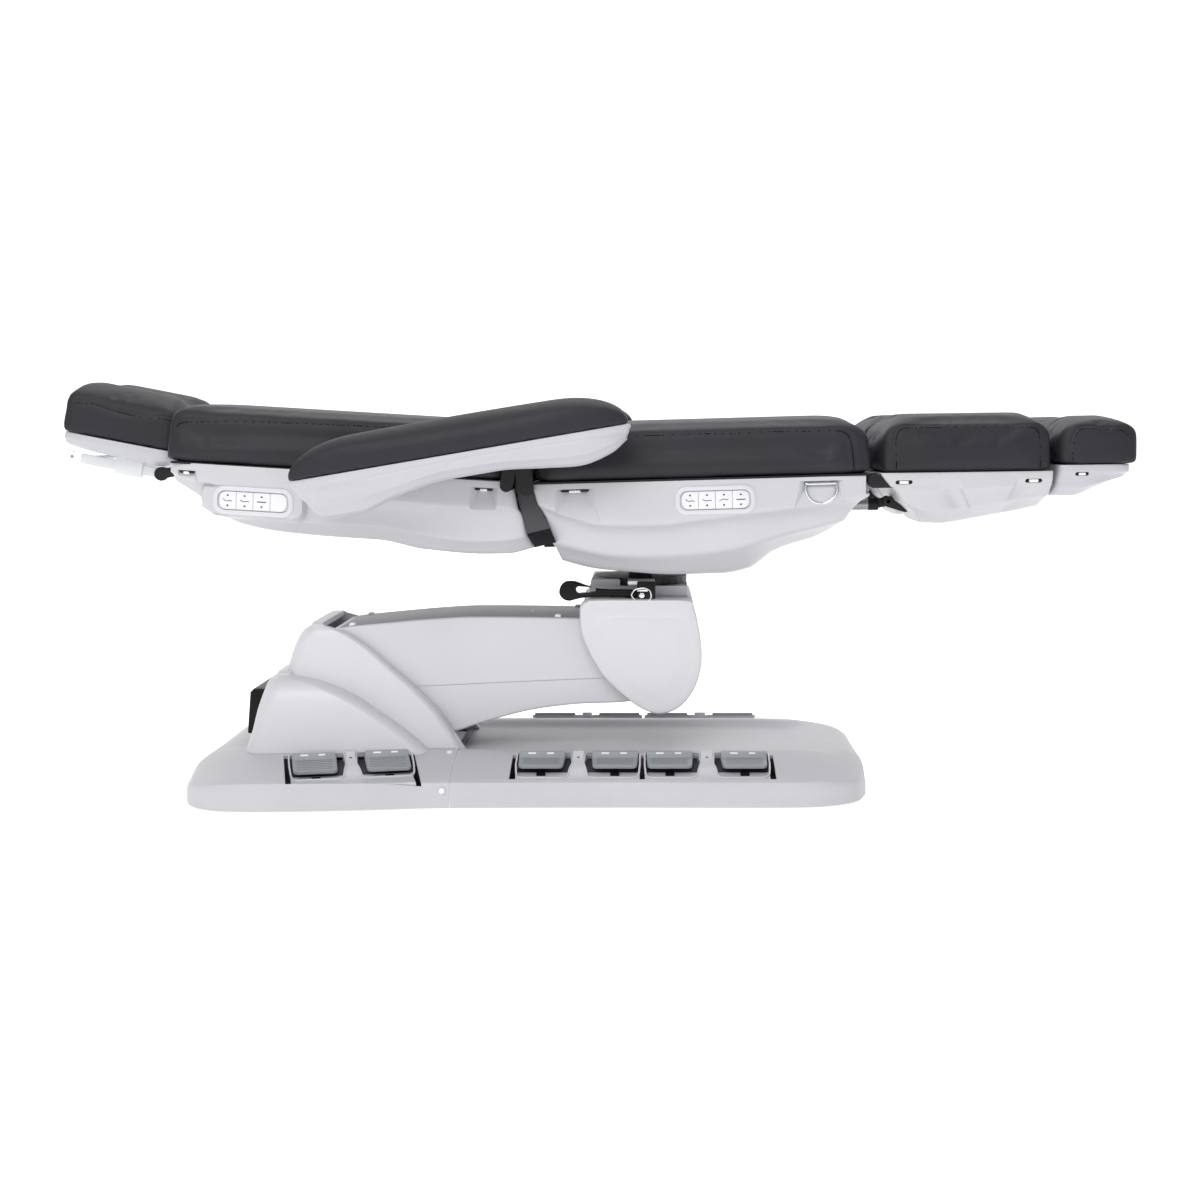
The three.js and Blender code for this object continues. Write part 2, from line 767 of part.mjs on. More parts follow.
function actuator(foot, lug, spec) {
  const run = new THREE.Vector2(lug[0] - foot[0], lug[1] - foot[1]);
  const long = run.length();
  const { tube, rod, eye, eyeHalf, footPin, lugPin, bodyShare, motorRadius, motorLength, motorSide } = spec;
  const tubeEnd = long * bodyShare;
  const motorY = motorSide * (tube + motorRadius) * motor.offShare;
  const housing = cut(
    join(
      barX(0, 0, tube, eye + motor.start, tubeEnd, sides.disc),
      barY([0, 0], eye, -eyeHalf, eyeHalf),
      box(0, eye + motor.eyeReach, -eyeHalf, eyeHalf, -eye / 2, eye / 2),
      barX(motorY, 0, motorRadius, eye + motor.start + gap, eye + motorLength, sides.disc),
    ),
    barY([0, 0], boreRadius(footPin), -eyeHalf - overrun, eyeHalf + overrun),
    barX(0, 0, boreRadius(rod, sides.rod), eye + motor.bore, tubeEnd + overrun, sides.rod),
  );
  const stem = join(
    barX(0, 0, rod, eye + motor.bore + rod, long - eye / 2, sides.rod),
    barY([long, 0], eye, -eyeHalf, eyeHalf),
    barY([long, 0], lugPin, -eyeHalf - motor.pinReach, eyeHalf + motor.pinReach),
  );
  return { housing, stem, turn: run.angle() };
}

function addActuator(prefix, foot, lug, spec) {
  const { housing, stem, turn } = actuator(foot, lug, spec);
  const holder = new THREE.Group();
  holder.position.set(foot[0], 0, foot[1]);
  holder.rotation.y = -turn;
  table.add(holder);
  add(`${prefix}_motor`, housing, "black", holder);
  add(`${prefix}_rod`, stem, "chrome", holder);
}

const liftActuator = {
  tube: 17,
  rod: 9,
  eye: 14,
  eyeHalf: 9,
  footPin: frame.motorPin,
  lugPin: 7,
  bodyShare: 0.82,
  motorRadius: 18,
  motorLength: 120,
  motorSide: -1,
};
addActuator("lift", liftMotorFoot, liftMotorLug, liftActuator);

// Lift head: a block over the shield with ears down to the arm's and the link's front pins,
// and the clamp of the swivel lock
const head = {
  x0: -6,
  x1: 179,
  half: 92,
  z0: 359.4,
  z1: 378,
  earHalf: 24,
  clampX: [67, 117],
  clampY: 146,
  clampZ: 392,
  clampThick: 6,
  lockPin: 6,
  lockY: -128,
};
{
  const { earY, pinRadius, pinReach } = frame;
  const parts = [box(head.x0, head.x1, -head.half, head.half, head.z0, head.z1)];
  for (const side of [-1, 1]) {
    const y = pair(side, earY, earY + wall.plate);
    parts.push(strap(linkFront, [linkFront[0], head.z0], head.earHalf, ...y));
  }
  parts.push(barY(liftFront, pinRadius, -pinReach, pinReach));
  parts.push(barY(linkFront, pinRadius, -earY - wall.plate, earY + wall.plate));
  const [x0, x1] = head.clampX;
  parts.push(box(x0, x1, -head.clampY, -head.half + gap, head.clampZ - head.clampThick, head.clampZ));
  parts.push(box(x0, x1, -head.half - head.clampThick, -head.half + gap, head.z0 + gap, head.clampZ));
  parts.push(barZ((x0 + x1) / 2, head.lockY, head.lockPin, head.z0 + gap, head.clampZ - head.clampThick / 2));
  const over = box(
    head.x0 - overrun, head.x1 + overrun, -head.half + gap, head.half,
    head.z1, head.clampZ + overrun,
  );
  add("lift_head", cut(join(...parts), over), "armSkin");
}

// Shield: a teardrop cover over the arm's front end
const shield = {
  x0: -22,
  width: 227,
  z0: 143,
  height: 215.6,
  half: 157,
  bevel: 12,
  slotHalf: 109,
  slotX: 62,
  lowX: 124,
  lowZ: 190,
  topX: [50, 150],
  topHalf: 95,
};

// Outline shares of its width and height, from the top left clockwise
const shieldShares = [
  [0, 0.93],
  [0.05, 0.985],
  [0.15, 1],
  [0.84, 1],
  [0.93, 0.93],
  [0.98, 0.715],
  [1, 0.505],
  [0.98, 0.345],
  [0.93, 0.205],
  [0.85, 0.09],
  [0.76, 0.025],
  [0.66, 0],
  [0.58, 0.012],
  [0.46, 0.075],
  [0.32, 0.19],
  [0.185, 0.337],
  [0.078, 0.527],
  [0.018, 0.674],
  [0, 0.757],
];
const shieldMiddleShares = [0.52, 0.58];
{
  const point = ([x, z]) => [shield.x0 + x * shield.width, shield.z0 + z * shield.height];
  const outline = shieldShares.map(point);
  const inward = (inset) => {
    const [acrossShare, upShare] = shieldMiddleShares;
    const mid = [shield.x0 + shield.width * acrossShare, shield.z0 + shield.height * upShare];
    const share = [1 - (2 * inset) / shield.width, 1 - (2 * inset) / shield.height];
    return outline.map(([x, z]) => [mid[0] + (x - mid[0]) * share[0], mid[1] + (z - mid[1]) * share[1]]);
  };
  const outer = plate(outline, -shield.half, shield.half, shield.bevel);
  const inner = plate(inward(wall.skin), -shield.half + wall.skin, shield.half - wall.skin);
  const slot = box(
    shield.x0 - overrun, shield.slotX, -shield.slotHalf, shield.slotHalf,
    shield.z0 - overrun, shield.z0 + shield.height - wall.skin,
  );
  const above = box(
    shield.topX[0], shield.topX[1], -shield.topHalf, shield.topHalf,
    shield.z0 + shield.height / 2, shield.z0 + shield.height + overrun,
  );
  const below = box(
    shield.slotX - gap, shield.lowX, -shield.slotHalf, shield.slotHalf, shield.z0 - overrun, shield.lowZ,
  );
  add("head_shield", cut(outer, inner, slot, below, above), "moulding");
}

// Turntable: disc on the head, with ears for the tilt pin
const turn = { radius: 89, z1: 392, earY: 56, earHalf: 22, pin: 10 };
{
  const low = head.z1 + gap;
  const parts = [barZ(swivelX, 0, turn.radius, low, turn.z1, 2 * sides.disc)];
  for (const side of [-1, 1]) {
    const y = pair(side, turn.earY, turn.earY + wall.plate);
    const stub = pair(side, turn.earY + gap, turn.earY + 3 * wall.plate);
    parts.push(strap([swivelX, turn.z1 + gap], tiltPivot, turn.earHalf, ...y));
    parts.push(barY(tiltPivot, turn.pin, ...stub));
  }
  const below = box(head.x0, head.x1, -turn.radius, turn.radius, 0, low);
  add("turntable", cut(join(...parts), below), "armSkin");
}

// Swivel lock lever: flat, with a grip end and a slot through it
const lever = {
  x0: -61,
  bendX: -34,
  endX: -22,
  neckX: 50,
  z0: 354,
  z1: 391,
  neckLow: 361,
  neckHigh: 374,
  y0: -137,
  y1: -119,
  hub: 13,
};
const leverSlot = { x0: -30, x1: 7, z0: 368, z1: 382, left: 6.5, right: 4 };
{
  const tip = (lever.z1 - lever.z0) / 2;
  const pinX = (head.clampX[0] + head.clampX[1]) / 2;
  const shape = new THREE.Shape();
  shape.moveTo(lever.x0 + tip, lever.z0);
  shape.bezierCurveTo(lever.bendX, lever.z0, lever.bendX, lever.neckLow, lever.endX, lever.neckLow);
  shape.lineTo(pinX, lever.neckLow);
  shape.lineTo(pinX, lever.neckHigh);
  shape.lineTo(lever.neckX, lever.neckHigh);
  const swell = [lever.neckX + lever.endX, lever.neckHigh, -lever.endX, lever.z1];
  shape.bezierCurveTo(...swell, lever.x0 + tip, lever.z1);
  shape.absarc(lever.x0 + tip, lever.z0 + tip, tip, Math.PI / 2, 1.5 * Math.PI);
  const slab = new THREE.ExtrudeGeometry(shape, {
    depth: lever.y1 - lever.y0,
    bevelEnabled: false,
    curveSegments: 6,
  });
  slab.rotateX(Math.PI / 2);
  slab.translate(0, lever.y1, 0);
  const { x0, x1, z0, z1 } = leverSlot;
  const eye = pill(x0, x1, z0, z1, leverSlot, lever.y0 - overrun, lever.y1 + overrun);
  const hubTop = head.clampZ - head.clampThick - gap;
  const hub = barZ(pinX, head.lockY, lever.hub, lever.neckLow, hubTop, sides.disc);
  const boreHalf = boreRadius(head.lockPin, sides.rod);
  const bore = barZ(pinX, head.lockY, boreHalf, lever.z0 - overrun, lever.z1 + overrun);
  const room = box(
    head.clampX[0] - overrun, head.clampX[1] + overrun, -head.half - head.clampThick - gap, overrun,
    lever.z0, lever.z1 + overrun,
  );
  add("swivel_lever", cut(join(solid(slab), hub), bore, eye, room), "black");
}

// Seat section: tray, deck frame and cushion, drawn from the seat's own origin
const seat = { length: seatLength, depth: 182, lowerIn: 37, keelIn: 109 };
const seatRows = [
  [-0.003, 0.02, 0.22, 0.064, 0.599, 0.088, 0.824],
  [0.101, 0.101, 0.341, 0.118, 0.67, 0.164, 0.912],
  [0.22, 0.203, 0.429, 0.211, 0.742, 0.272, 0.956],
  [0.355, 0.355, 0.445, 0.353, 0.775, 0.405, 0.995],
  [0.507, 0.507, 0.401, 0.49, 0.758, 0.557, 1],
  [0.642, 0.633, 0.363, 0.613, 0.703, 0.642, 0.956],
  [0.743, 0.743, 0.33, 0.743, 0.588, 0.728, 0.769],
  [0.878, 0.878, 0.291, 0.87, 0.505, 0.853, 0.643],
  [1, 0.998, 0.225, 0.929, 0.462, 0.904, 0.555],
];
const seatTray = {
  rows: seatRows,
  length: seat.length,
  depth: seat.depth,
  halves: [top.half, top.half, top.half - seat.lowerIn, top.half - seat.keelIn],
  planShares: [0.975, 1, 1, 1, 1, 1, 1, 1, 0.985],
};
const trayInset = { side: wall.side, floor: wall.shell, end: wall.end };

// Keypads: a raised rim round a pocket that holds four keys
const keypad = {
  rim: 9,
  proud: 2.2,
  deep: 9,
  radius: 20,
  keyWide: 29.3,
  keyTall: 31,
  keyGap: 0.5,
  keyRadius: 12,
  keyThick: 6,
  keyProud: 1.2,
  count: 4,
};
const padWide = keypad.count * keypad.keyWide + (keypad.count + 1) * keypad.keyGap;
const padTall = keypad.keyTall + 2 * keypad.keyGap;

function keypadCuts(x, z) {
  const face = -top.half;
  const half = [padWide / 2, padTall / 2];
  const round = { left: keypad.keyRadius, right: keypad.keyRadius };
  const rim = pill(
    x - half[0] - keypad.rim, x + half[0] + keypad.rim, z - half[1] - keypad.rim, z + half[1] + keypad.rim,
    { left: keypad.radius, right: keypad.radius }, face - keypad.proud, face + keypad.deep / 2,
  );
  const pocket = pill(
    x - half[0], x + half[0], z - half[1], z + half[1], round, face - overrun, face + keypad.deep,
  );
  return { rim, pocket };
}

function addKeys(prefix, x, z, parent) {
  const step = keypad.keyWide + keypad.keyGap;
  const left = x - padWide / 2 + keypad.keyGap;
  for (let i = 0; i < keypad.count; i++) {
    const x0 = left + i * step;
    const radii = {
      left: i === 0 ? keypad.keyRadius - keypad.keyGap : keypad.keyGap,
      right: i === keypad.count - 1 ? keypad.keyRadius - keypad.keyGap : keypad.keyGap,
    };
    const key = pill(
      x0, x0 + keypad.keyWide, z - keypad.keyTall / 2, z + keypad.keyTall / 2, radii,
      -top.half - keypad.keyProud, -top.half - keypad.keyProud + keypad.keyThick,
    );
    add(`${prefix}_key_${i + 1}`, key, "key", parent);
  }
}

// Pull rings, and the lugs that they hang from
const ring = { half: 27, drop: 8, radius: 3, steps: 8, tube: 6, topGap: 4, lugX: 17, lugHalf: 2.5, out: 0.5 };

// Recesses in the sides of the seat shell: a pocket under the pull ring, and a hook slot nearer the back
const recess = { wide: 78, tall: 46, deep: 9, topZ: -12, flare: 5 };
const ringFromEnd = 87;
const ringX = seat.length - ringFromEnd;
const hookX = 71;

function sideRecess(x, side) {
  const half = recess.wide / 2;
  const outline = [
    [x - half + recess.flare, recess.topZ],
    [x + half - recess.flare, recess.topZ],
    [x + half, recess.topZ - recess.tall],
    [x - half, recess.topZ - recess.tall],
  ].reverse();
  return plate(outline, ...pair(side, top.half - recess.deep, top.half + overrun));
}

const legInner = 8;
const legSideGap = 1.5;
const legCentre = (legInner + top.half) / 2;
const outerEarIn = 23;
const innerEarOut = 32;
const leg = {
  half: (top.half - legInner) / 2 - legSideGap,
  outerEarY: top.half - outerEarIn,
  innerEarY: legInner + innerEarOut,
  lugRadius: 12,
  pin: 5,
  lugGap: 0.8,
  lugRoom: 1.5,
  strutY: legCentre - legSideGap,
  deckIn: 6,
};
const deckEnd = seat.length - leg.deckIn;
const strutNotch = { length: 80, half: 30, topZ: -28 };
const earNotch = { length: 24, wide: 26.4, lowZ: -36 };
const earTopShare = 0.65;
const kneeInSeat = inSection("seat", kneePivot);
const tiltInSeat = inSection("seat", tiltPivot);
const shaftHole = { x: 70, half: 76 };
const keypadFromMiddle = 22;
const seatKeypad = [seat.length / 2 + keypadFromMiddle, -39.5];

// Where the back motor leaves the seat section: along it, and how far down
const motorSlot = { x0: -40, x1: 80, lowShare: 0.65 };
const motorSlotZ = [-seat.depth * motorSlot.lowShare, overrun];

{
  const shell = hollowTray(seatTray, trayInset);
  const { rim, pocket } = keypadCuts(...seatKeypad);
  const cuts = [pocket];
  for (const side of [-1, 1]) {
    cuts.push(sideRecess(ringX, side), sideRecess(hookX, side));
    const c = side * leg.strutY;
    cuts.push(
      box(
        seat.length - strutNotch.length, seat.length + overrun, c - strutNotch.half, c + strutNotch.half,
        -seat.depth, strutNotch.topZ,
      ),
    );
    for (const y of [leg.outerEarY, leg.innerEarY]) {
      const ears = pair(side, y - wall.plate, y - wall.plate + earNotch.wide);
      cuts.push(box(deckEnd - earNotch.length, seat.length + overrun, ...ears, earNotch.lowZ, overrun));
    }
  }
  const ringBore = boreRadius(ring.radius, ring.tube);
  const lugs = [-1, 1].flatMap((side) =>
    [-1, 1].map((end) => {
      const y = pair(side, top.half - recess.deep - overlap, top.half - overlap);
      const x = ringX + end * ring.lugX;
      const z = recess.topZ - ring.topGap;
      return cut(
        box(x - ring.lugHalf, x + ring.lugHalf, ...y, z - 2 * ring.lugHalf, z + 2 * ring.lugHalf),
        barX((y[0] + y[1]) / 2 - side * ring.out, z, ringBore, x - overrun, x + overrun),
      );
    }),
  );
  cuts.push(
    box(
      tiltInSeat[0] - shaftHole.x, tiltInSeat[0] + shaftHole.x, -shaftHole.half, shaftHole.half,
      -seat.depth - overrun, -seat.depth / 2,
    ),
  );
  cuts.push(box(motorSlot.x0, motorSlot.x1, -motorHalf, motorHalf, ...motorSlotZ));
  add("seat_shell", join(cut(join(shell, rim), ...cuts), ...lugs), "moulding", groups.seat);
}
addKeys("seat", ...seatKeypad, groups.seat);

// Pull rings that release the leg rests, hanging in the recesses
for (const side of [-1, 1]) {
  const y = side * (top.half - recess.deep / 2 - overlap - ring.out);
  const z = recess.topZ - ring.topGap;
  const points = [vector(ringX - ring.half, y, z), vector(ringX, y, z), vector(ringX + ring.half, y, z)];
  for (let i = 0; i <= ring.steps; i++) {
    const angle = (Math.PI * i) / ring.steps;
    points.push(vector(ringX + ring.half * Math.cos(angle), y, z - ring.drop - ring.half * Math.sin(angle)));
  }
  const body = closedTube(points, ring.radius, ring.tube);
  add(`release_ring_${side < 0 ? "near" : "far"}`, body, "chrome", groups.seat);
}

// Ears for the back motor: on the seat frame for its foot, on the back frame for its lug
const backMotorEar = { earY: 10, radius: 14, pin: 7, lugRadius: 13, lugRootZ: -14 };

// The recline hinge: outer plates on the seat frame, inner plates on the back frame, outside the cushions
const hingeOut = 11;
const hingeStep = 7;
const hinge = {
  innerY: top.half + hingeOut,
  outerY: top.half + hingeOut + hingeStep,
  pin: 9,
  radius: 20,
  bar: 14,
  stud: 10,
  studReach: 35,
};
const deckZ = [-top.deck, -gap];
const seatBar = { x0: -20, x1: -6, z0: -18 };

{
  const recline = inSection("seat", reclinePivot);
  const stud = inSection("seat", armPivot);
  const bar = seatBar;
  const parts = [box(bar.x0, deckEnd, -top.half, top.half, ...deckZ)];
  parts.push(box(bar.x0, bar.x1, -hinge.outerY - wall.plate, hinge.outerY + wall.plate, bar.z0, -gap));
  const holes = [];
  for (const side of [-1, 1]) {
    const sorted = (a, b) => pair(side, a, b);
    const outer = sorted(hinge.outerY, hinge.outerY + wall.plate);
    const foot = [(bar.x0 + bar.x1) / 2, (bar.z0 - gap) / 2];
    parts.push(strap(foot, recline, hinge.bar, ...outer));
    parts.push(barY(recline, hinge.radius, ...outer, sides.disc));
    parts.push(barY(recline, hinge.pin, ...sorted(hinge.innerY - gap, hinge.outerY + gap)));
    parts.push(barY(stud, hinge.stud, ...sorted(hinge.outerY, hinge.outerY + hinge.studReach)));
    const hanger = sorted(turn.earY + wall.plate + 2 * gap, turn.earY + 2 * wall.plate + 2 * gap);
    parts.push(strap([tiltInSeat[0], deckZ[0] - hinge.radius], tiltInSeat, hinge.radius, ...hanger));
    parts.push(
      box(
        tiltInSeat[0] - hinge.radius, tiltInSeat[0] + hinge.radius, ...hanger,
        -2 * hinge.radius, deckZ[1] - gap,
      ),
    );
    holes.push(barY(tiltInSeat, boreRadius(turn.pin), ...sorted(turn.earY, turn.earY + 4 * wall.plate)));
    for (const y of [leg.outerEarY, leg.innerEarY]) {
      const ear = sorted(y, y + wall.plate);
      parts.push(barY(kneeInSeat, leg.lugRadius, ...ear));
      const earEnd = kneeInSeat[0] + leg.lugRadius * earTopShare;
      parts.push(box(deckEnd - overrun, earEnd, ...ear, kneeInSeat[1], deckZ[1] - gap));
      parts.push(barY(kneeInSeat, leg.pin, ...sorted(y, y + 2 * wall.plate + 2 * leg.lugGap)));
    }
  }
  // Ears for the back motor's foot
  const foot = inSection("seat", backMotorFoot);
  const { earY, radius, pin } = backMotorEar;
  for (const side of [-1, 1])
    parts.push(strap(foot, [foot[0], -radius], radius, ...pair(side, earY, earY + wall.plate)));
  parts.push(barY(foot, pin, -earY - wall.plate, earY + wall.plate));
  const above = box(-overrun, seat.length, -hinge.innerY, hinge.innerY, -gap, 2 * overrun);
  holes.push(box(bar.x0 - overrun, bar.x1 + gap, -motorHalf, motorHalf, bar.z0 - overrun, deckZ[0]));
  add("seat_frame", cut(join(...parts), above, ...holes), "steel", groups.seat);
}

add(
  "seat_cushion",
  cushion({ ...onTray(pad.seat, 0, seat.length, top.half), steps: padSteps.usual }),
  "leatherette",
  groups.seat,
);

// Cover in the gap between back and seat, carried by the seat frame's cross bar and open for the back motor
const cover = { thick: 21, half: 262, lowZ: -132, leanShare: 1.06463, off: 4.5 };
{
  const [, , , lowXShare, lowZShare] = seatRows[0];
  const lean = (cover.leanShare * lowXShare * seat.length) / (lowZShare * seat.depth);
  const edge = (z) => -lean * z - cover.off;
  const high = seatBar.z0 - gap;
  const outline = [
    [edge(cover.lowZ) - cover.thick, cover.lowZ],
    [edge(cover.lowZ), cover.lowZ],
    [edge(high), high],
    [edge(high) - cover.thick, high],
  ];
  const slot = box(motorSlot.x0, motorSlot.x1, -motorHalf, motorHalf, ...motorSlotZ);
  add("gap_cover", cut(plate(outline, -cover.half, cover.half), slot), "leatherette", groups.seat);
}

// Back section, drawn from its seat end, so its length runs to negative x
const back = { length: backLength, depth: 139, lowerIn: 7, keelIn: 59 };
const headRail = { y: 100, wide: 12, half: 9, disc: 13, pin: 6, endX: -177, rodX: -172, rod: 5 };
const headSaddle = { x0: -110, x1: -60, z0: -62, z1: -33, wall: 4 };
const backBar = { x0: 0, x1: 12, z0: -16 };
const backTray = {
  rows: [
    [-1, -1, 0.144, -0.998, 0.245, -0.978, 0.317],
    [-0.932, -0.932, 0.216, -0.915, 0.432, -0.889, 0.604],
    [-0.821, -0.821, 0.288, -0.821, 0.604, -0.803, 0.791],
    [-0.684, -0.684, 0.331, -0.684, 0.669, -0.684, 0.863],
    [-0.547, -0.547, 0.345, -0.547, 0.705, -0.547, 0.885],
    [-0.393, -0.393, 0.345, -0.393, 0.691, -0.385, 0.892],
    [-0.256, -0.256, 0.36, -0.248, 0.763, -0.248, 0.978],
    [-0.12, -0.111, 0.374, -0.103, 0.806, -0.103, 1],
    [-0.017, 0, 0.36, 0.017, 0.763, 0.017, 0.971],
    [0.024, 0.044, 0.36, 0.077, 0.705, 0.092, 0.878],
  ],
  length: back.length,
  depth: back.depth,
  halves: [top.half, top.half, top.half - back.lowerIn, top.half - back.keelIn],
  planShares: [0.95, 1, 1, 1, 1, 1, 1, 1, 1, 0.985],
};
const backKeypad = [-438, -63];
const backSlot = { length: 100, drop: 20, rise: 60 };
const headArmRoot = 30;

{
  const { rim, pocket } = keypadCuts(...backKeypad);
  const cuts = [pocket];
  const lug = inSection("back", backMotorLug);
  cuts.push(
    box(
      lug[0], lug[0] + backSlot.length, -motorHalf, motorHalf,
      lug[1] - backSlot.drop, lug[1] + backSlot.rise,
    ),
    box(
      backBar.x0 - 2 * gap, backBar.x1 + 2 * overrun, -hinge.outerY, hinge.outerY,
      backBar.z0 - 2 * gap, overrun,
    ),
  );
  for (const side of [-1, 1]) {
    const y = headRail.y + headRail.wide;
    const room = pair(side, y, y + wall.plate + 2 * gap);
    cuts.push(box(-back.length - overrun, overrun - back.length, ...room, -2 * overrun, overrun));
  }
  add("back_shell", cut(join(hollowTray(backTray, trayInset), rim), ...cuts), "moulding", groups.back);
}
addKeys("back", ...backKeypad, groups.back);

{
  const recline = inSection("back", reclinePivot);
  const lug = inSection("back", backMotorLug);
  const bar = backBar;
  const parts = [box(-back.length, bar.x1, -top.half + gap, top.half - gap, ...deckZ)];
  parts.push(box(bar.x0, bar.x1, -hinge.outerY + gap, hinge.outerY - gap, bar.z0, -gap));
  const holes = [];
  for (const side of [-1, 1]) {
    const sorted = (a, b) => pair(side, a, b);
    const inner = sorted(hinge.innerY, hinge.outerY - 2 * gap);
    const foot = [(bar.x0 + bar.x1) / 2, (bar.z0 - gap) / 2];
    parts.push(strap(foot, recline, bar.x1 - bar.x0 - gap, ...inner));
    parts.push(barY(recline, hinge.radius, ...inner, sides.disc));
    const through = sorted(hinge.innerY - overrun, hinge.outerY + overrun);
    holes.push(barY(recline, boreRadius(hinge.pin), ...through));
    const { earY, lugRadius, lugRootZ } = backMotorEar;
    parts.push(strap(lug, [lug[0] + lug[1] / 4, lugRootZ], lugRadius, ...sorted(earY, earY + wall.plate)));
    const headArm = sorted(headRail.y + headRail.wide + gap, headRail.y + headRail.wide + gap + wall.plate);
    const disc = inSection("back", headPivot);
    parts.push(strap(disc, [headArmRoot - back.length, -headRail.half], headRail.half, ...headArm));
    parts.push(barY(disc, headRail.disc, ...headArm, sides.disc));
    parts.push(barY(disc, headRail.pin, ...sorted(headRail.y - gap, headRail.y + headRail.wide + 2 * gap)));
  }
  const above = box(-2 * back.length, bar.x1, -hinge.innerY, hinge.innerY, -gap, 2 * overrun);
  add("back_frame", cut(join(...parts), above, ...holes), "steel", groups.back);
}

add(
  "back_cushion",
  cushion({ ...onTray(pad.back, -back.length, 0, top.half), steps: padSteps.usual }),
  "leatherette",
  groups.back,
);

const backActuator = {
  tube: 14,
  rod: 8,
  eye: 12,
  eyeHalf: 8,
  footPin: backMotorEar.pin,
  lugPin: 7,
  bodyShare: 0.86,
  motorRadius: 16,
  motorLength: 110,
  motorSide: -1,
};
addActuator("back", backMotorFoot, backMotorLug, backActuator);

// Headrest: two bars with a cross rod hinged to the back frame, and a tray that slides along them
const headrest = { length: 196, depth: 36, half: 165, lowerIn: 10, keelIn: 45, endWall: 7 };
{
  const hub = inSection("head", headPivot);
  const parts = [];
  const bores = [];
  for (const side of [-1, 1]) {
    const sorted = (a, b) => pair(side, a, b);
    const y = sorted(headRail.y, headRail.y + headRail.wide);
    parts.push(box(headRail.endX, hub[0], ...y, hub[1] - headRail.half, hub[1] + headRail.half));
    parts.push(barY(hub, headRail.disc, ...y, sides.disc));
    const through = sorted(headRail.y - overrun, headRail.y + headRail.wide + overrun);
    bores.push(barY(hub, boreRadius(headRail.pin), ...through));
  }
  parts.push(barY([headRail.rodX, hub[1]], headRail.rod, -headRail.y - gap, headRail.y + gap));
  add("headrest_rail", cut(join(...parts), ...bores), "steel", groups.head);

  const shell = hollowTray(
    {
      rows: [
        [-1, -1, 0.25, -0.99, 0.472, -0.918, 0.75],
        [-0.714, -0.714, 0.333, -0.704, 0.667, -0.689, 0.889],
        [-0.454, -0.454, 0.333, -0.454, 0.694, -0.454, 0.944],
        [-0.209, -0.209, 0.333, -0.209, 0.694, -0.209, 1],
        [0, 0.01, 0.25, 0, 0.5, -0.051, 0.806],
      ],
      length: headrest.length,
      depth: headrest.depth,
      halves: [
        headrest.half, headrest.half, headrest.half - headrest.lowerIn, headrest.half - headrest.keelIn,
      ],
      planShares: [0.88, 1, 1, 1, 0.97],
      rimZ: -gap,
    },
    { side: wall.shell, floor: wall.shell, end: headrest.endWall },
  );
  const saddles = [];
  for (const side of [-1, 1]) {
    const sorted = (a, b) => pair(side, a, b);
    const { x0, x1, z0, z1 } = headSaddle;
    const low = hub[1] - headRail.half - gap;
    const high = hub[1] + headRail.half + gap;
    const inner = headRail.y - overlap;
    const outer = headRail.y + headRail.wide + gap;
    saddles.push(
      cut(
        box(x0, x1, ...sorted(inner, outer + headSaddle.wall), z0, z1),
        box(x0 - overrun, x1 + overrun, ...sorted(inner - overrun, outer), low, high),
      ),
    );
  }
  add("headrest_shell", join(shell, ...saddles), "moulding", groups.head);
}
add(
  "headrest_cushion",
  cushion({
    ...onTray(pad.head, -headrest.length, 0, headrest.half),
    steps: padSteps.usual,
    shares: lobedShares,
    middleShare: lobeMiddleShare,
  }),
  "leatherette",
  groups.head,
);

// Armrests: slim trays with a padded top, each on a stud of the seat frame
const armrest = {
  length: 587,
  depth: 72,
  half: 41,
  lowerIn: 5,
  keelIn: 19,
  out: 86,
  boss: 14,
  bossOut: 57,
  blind: 2,
  wall: 5,
};
const armrestY = top.half + armrest.out;
const bossEnd = top.half + armrest.bossOut;
for (const side of [-1, 1]) {
  const centre = side * armrestY;
  const label = side < 0 ? "near" : "far";
  const sorted = (a, b) => pair(side, a, b);
  const stud = inSection("arm", armPivot);
  const shell = hollowTray(
    {
      rows: [
        [0, 0.007, 0.167, 0.02, 0.389, 0.053, 0.778],
        [0.085, 0.085, 0.347, 0.089, 0.667, 0.102, 0.986],
        [0.196, 0.196, 0.306, 0.196, 0.639, 0.187, 0.986],
        [0.315, 0.315, 0.222, 0.307, 0.5, 0.298, 0.75],
        [0.457, 0.457, 0.167, 0.457, 0.361, 0.457, 0.542],
        [0.596, 0.596, 0.167, 0.596, 0.375, 0.596, 0.542],
        [0.739, 0.739, 0.222, 0.739, 0.472, 0.739, 0.667],
        [0.852, 0.852, 0.25, 0.852, 0.528, 0.843, 0.75],
        [0.937, 0.94, 0.194, 0.937, 0.417, 0.934, 0.583],
        [1, 1.002, 0.083, 0.995, 0.194, 0.985, 0.333],
      ],
      length: armrest.length,
      depth: armrest.depth,
      halves: [armrest.half, armrest.half, armrest.half - armrest.lowerIn, armrest.half - armrest.keelIn],
      planShares: [0.45, 0.85, 1, 1, 1, 1, 1, 0.94, 0.78, 0.42],
      centre,
      rimZ: -gap,
    },
    { side: armrest.wall, floor: armrest.wall, end: armrest.wall },
  );
  const near = hinge.outerY + wall.plate + 2 * gap;
  const boss = barY(stud, armrest.boss, ...sorted(near, bossEnd), sides.disc);
  const bore = barY(stud, boreRadius(hinge.stud), ...sorted(near - overrun, bossEnd - armrest.blind));
  add(`armrest_shell_${label}`, cut(join(shell, boss), bore), "moulding", groups.arm);
  add(
    `armrest_pad_${label}`,
    cushion({ ...onTray(pad.arm, 0, armrest.length, armrest.half), steps: padSteps.long, centre }),
    "leatherette",
    groups.arm,
  );
}

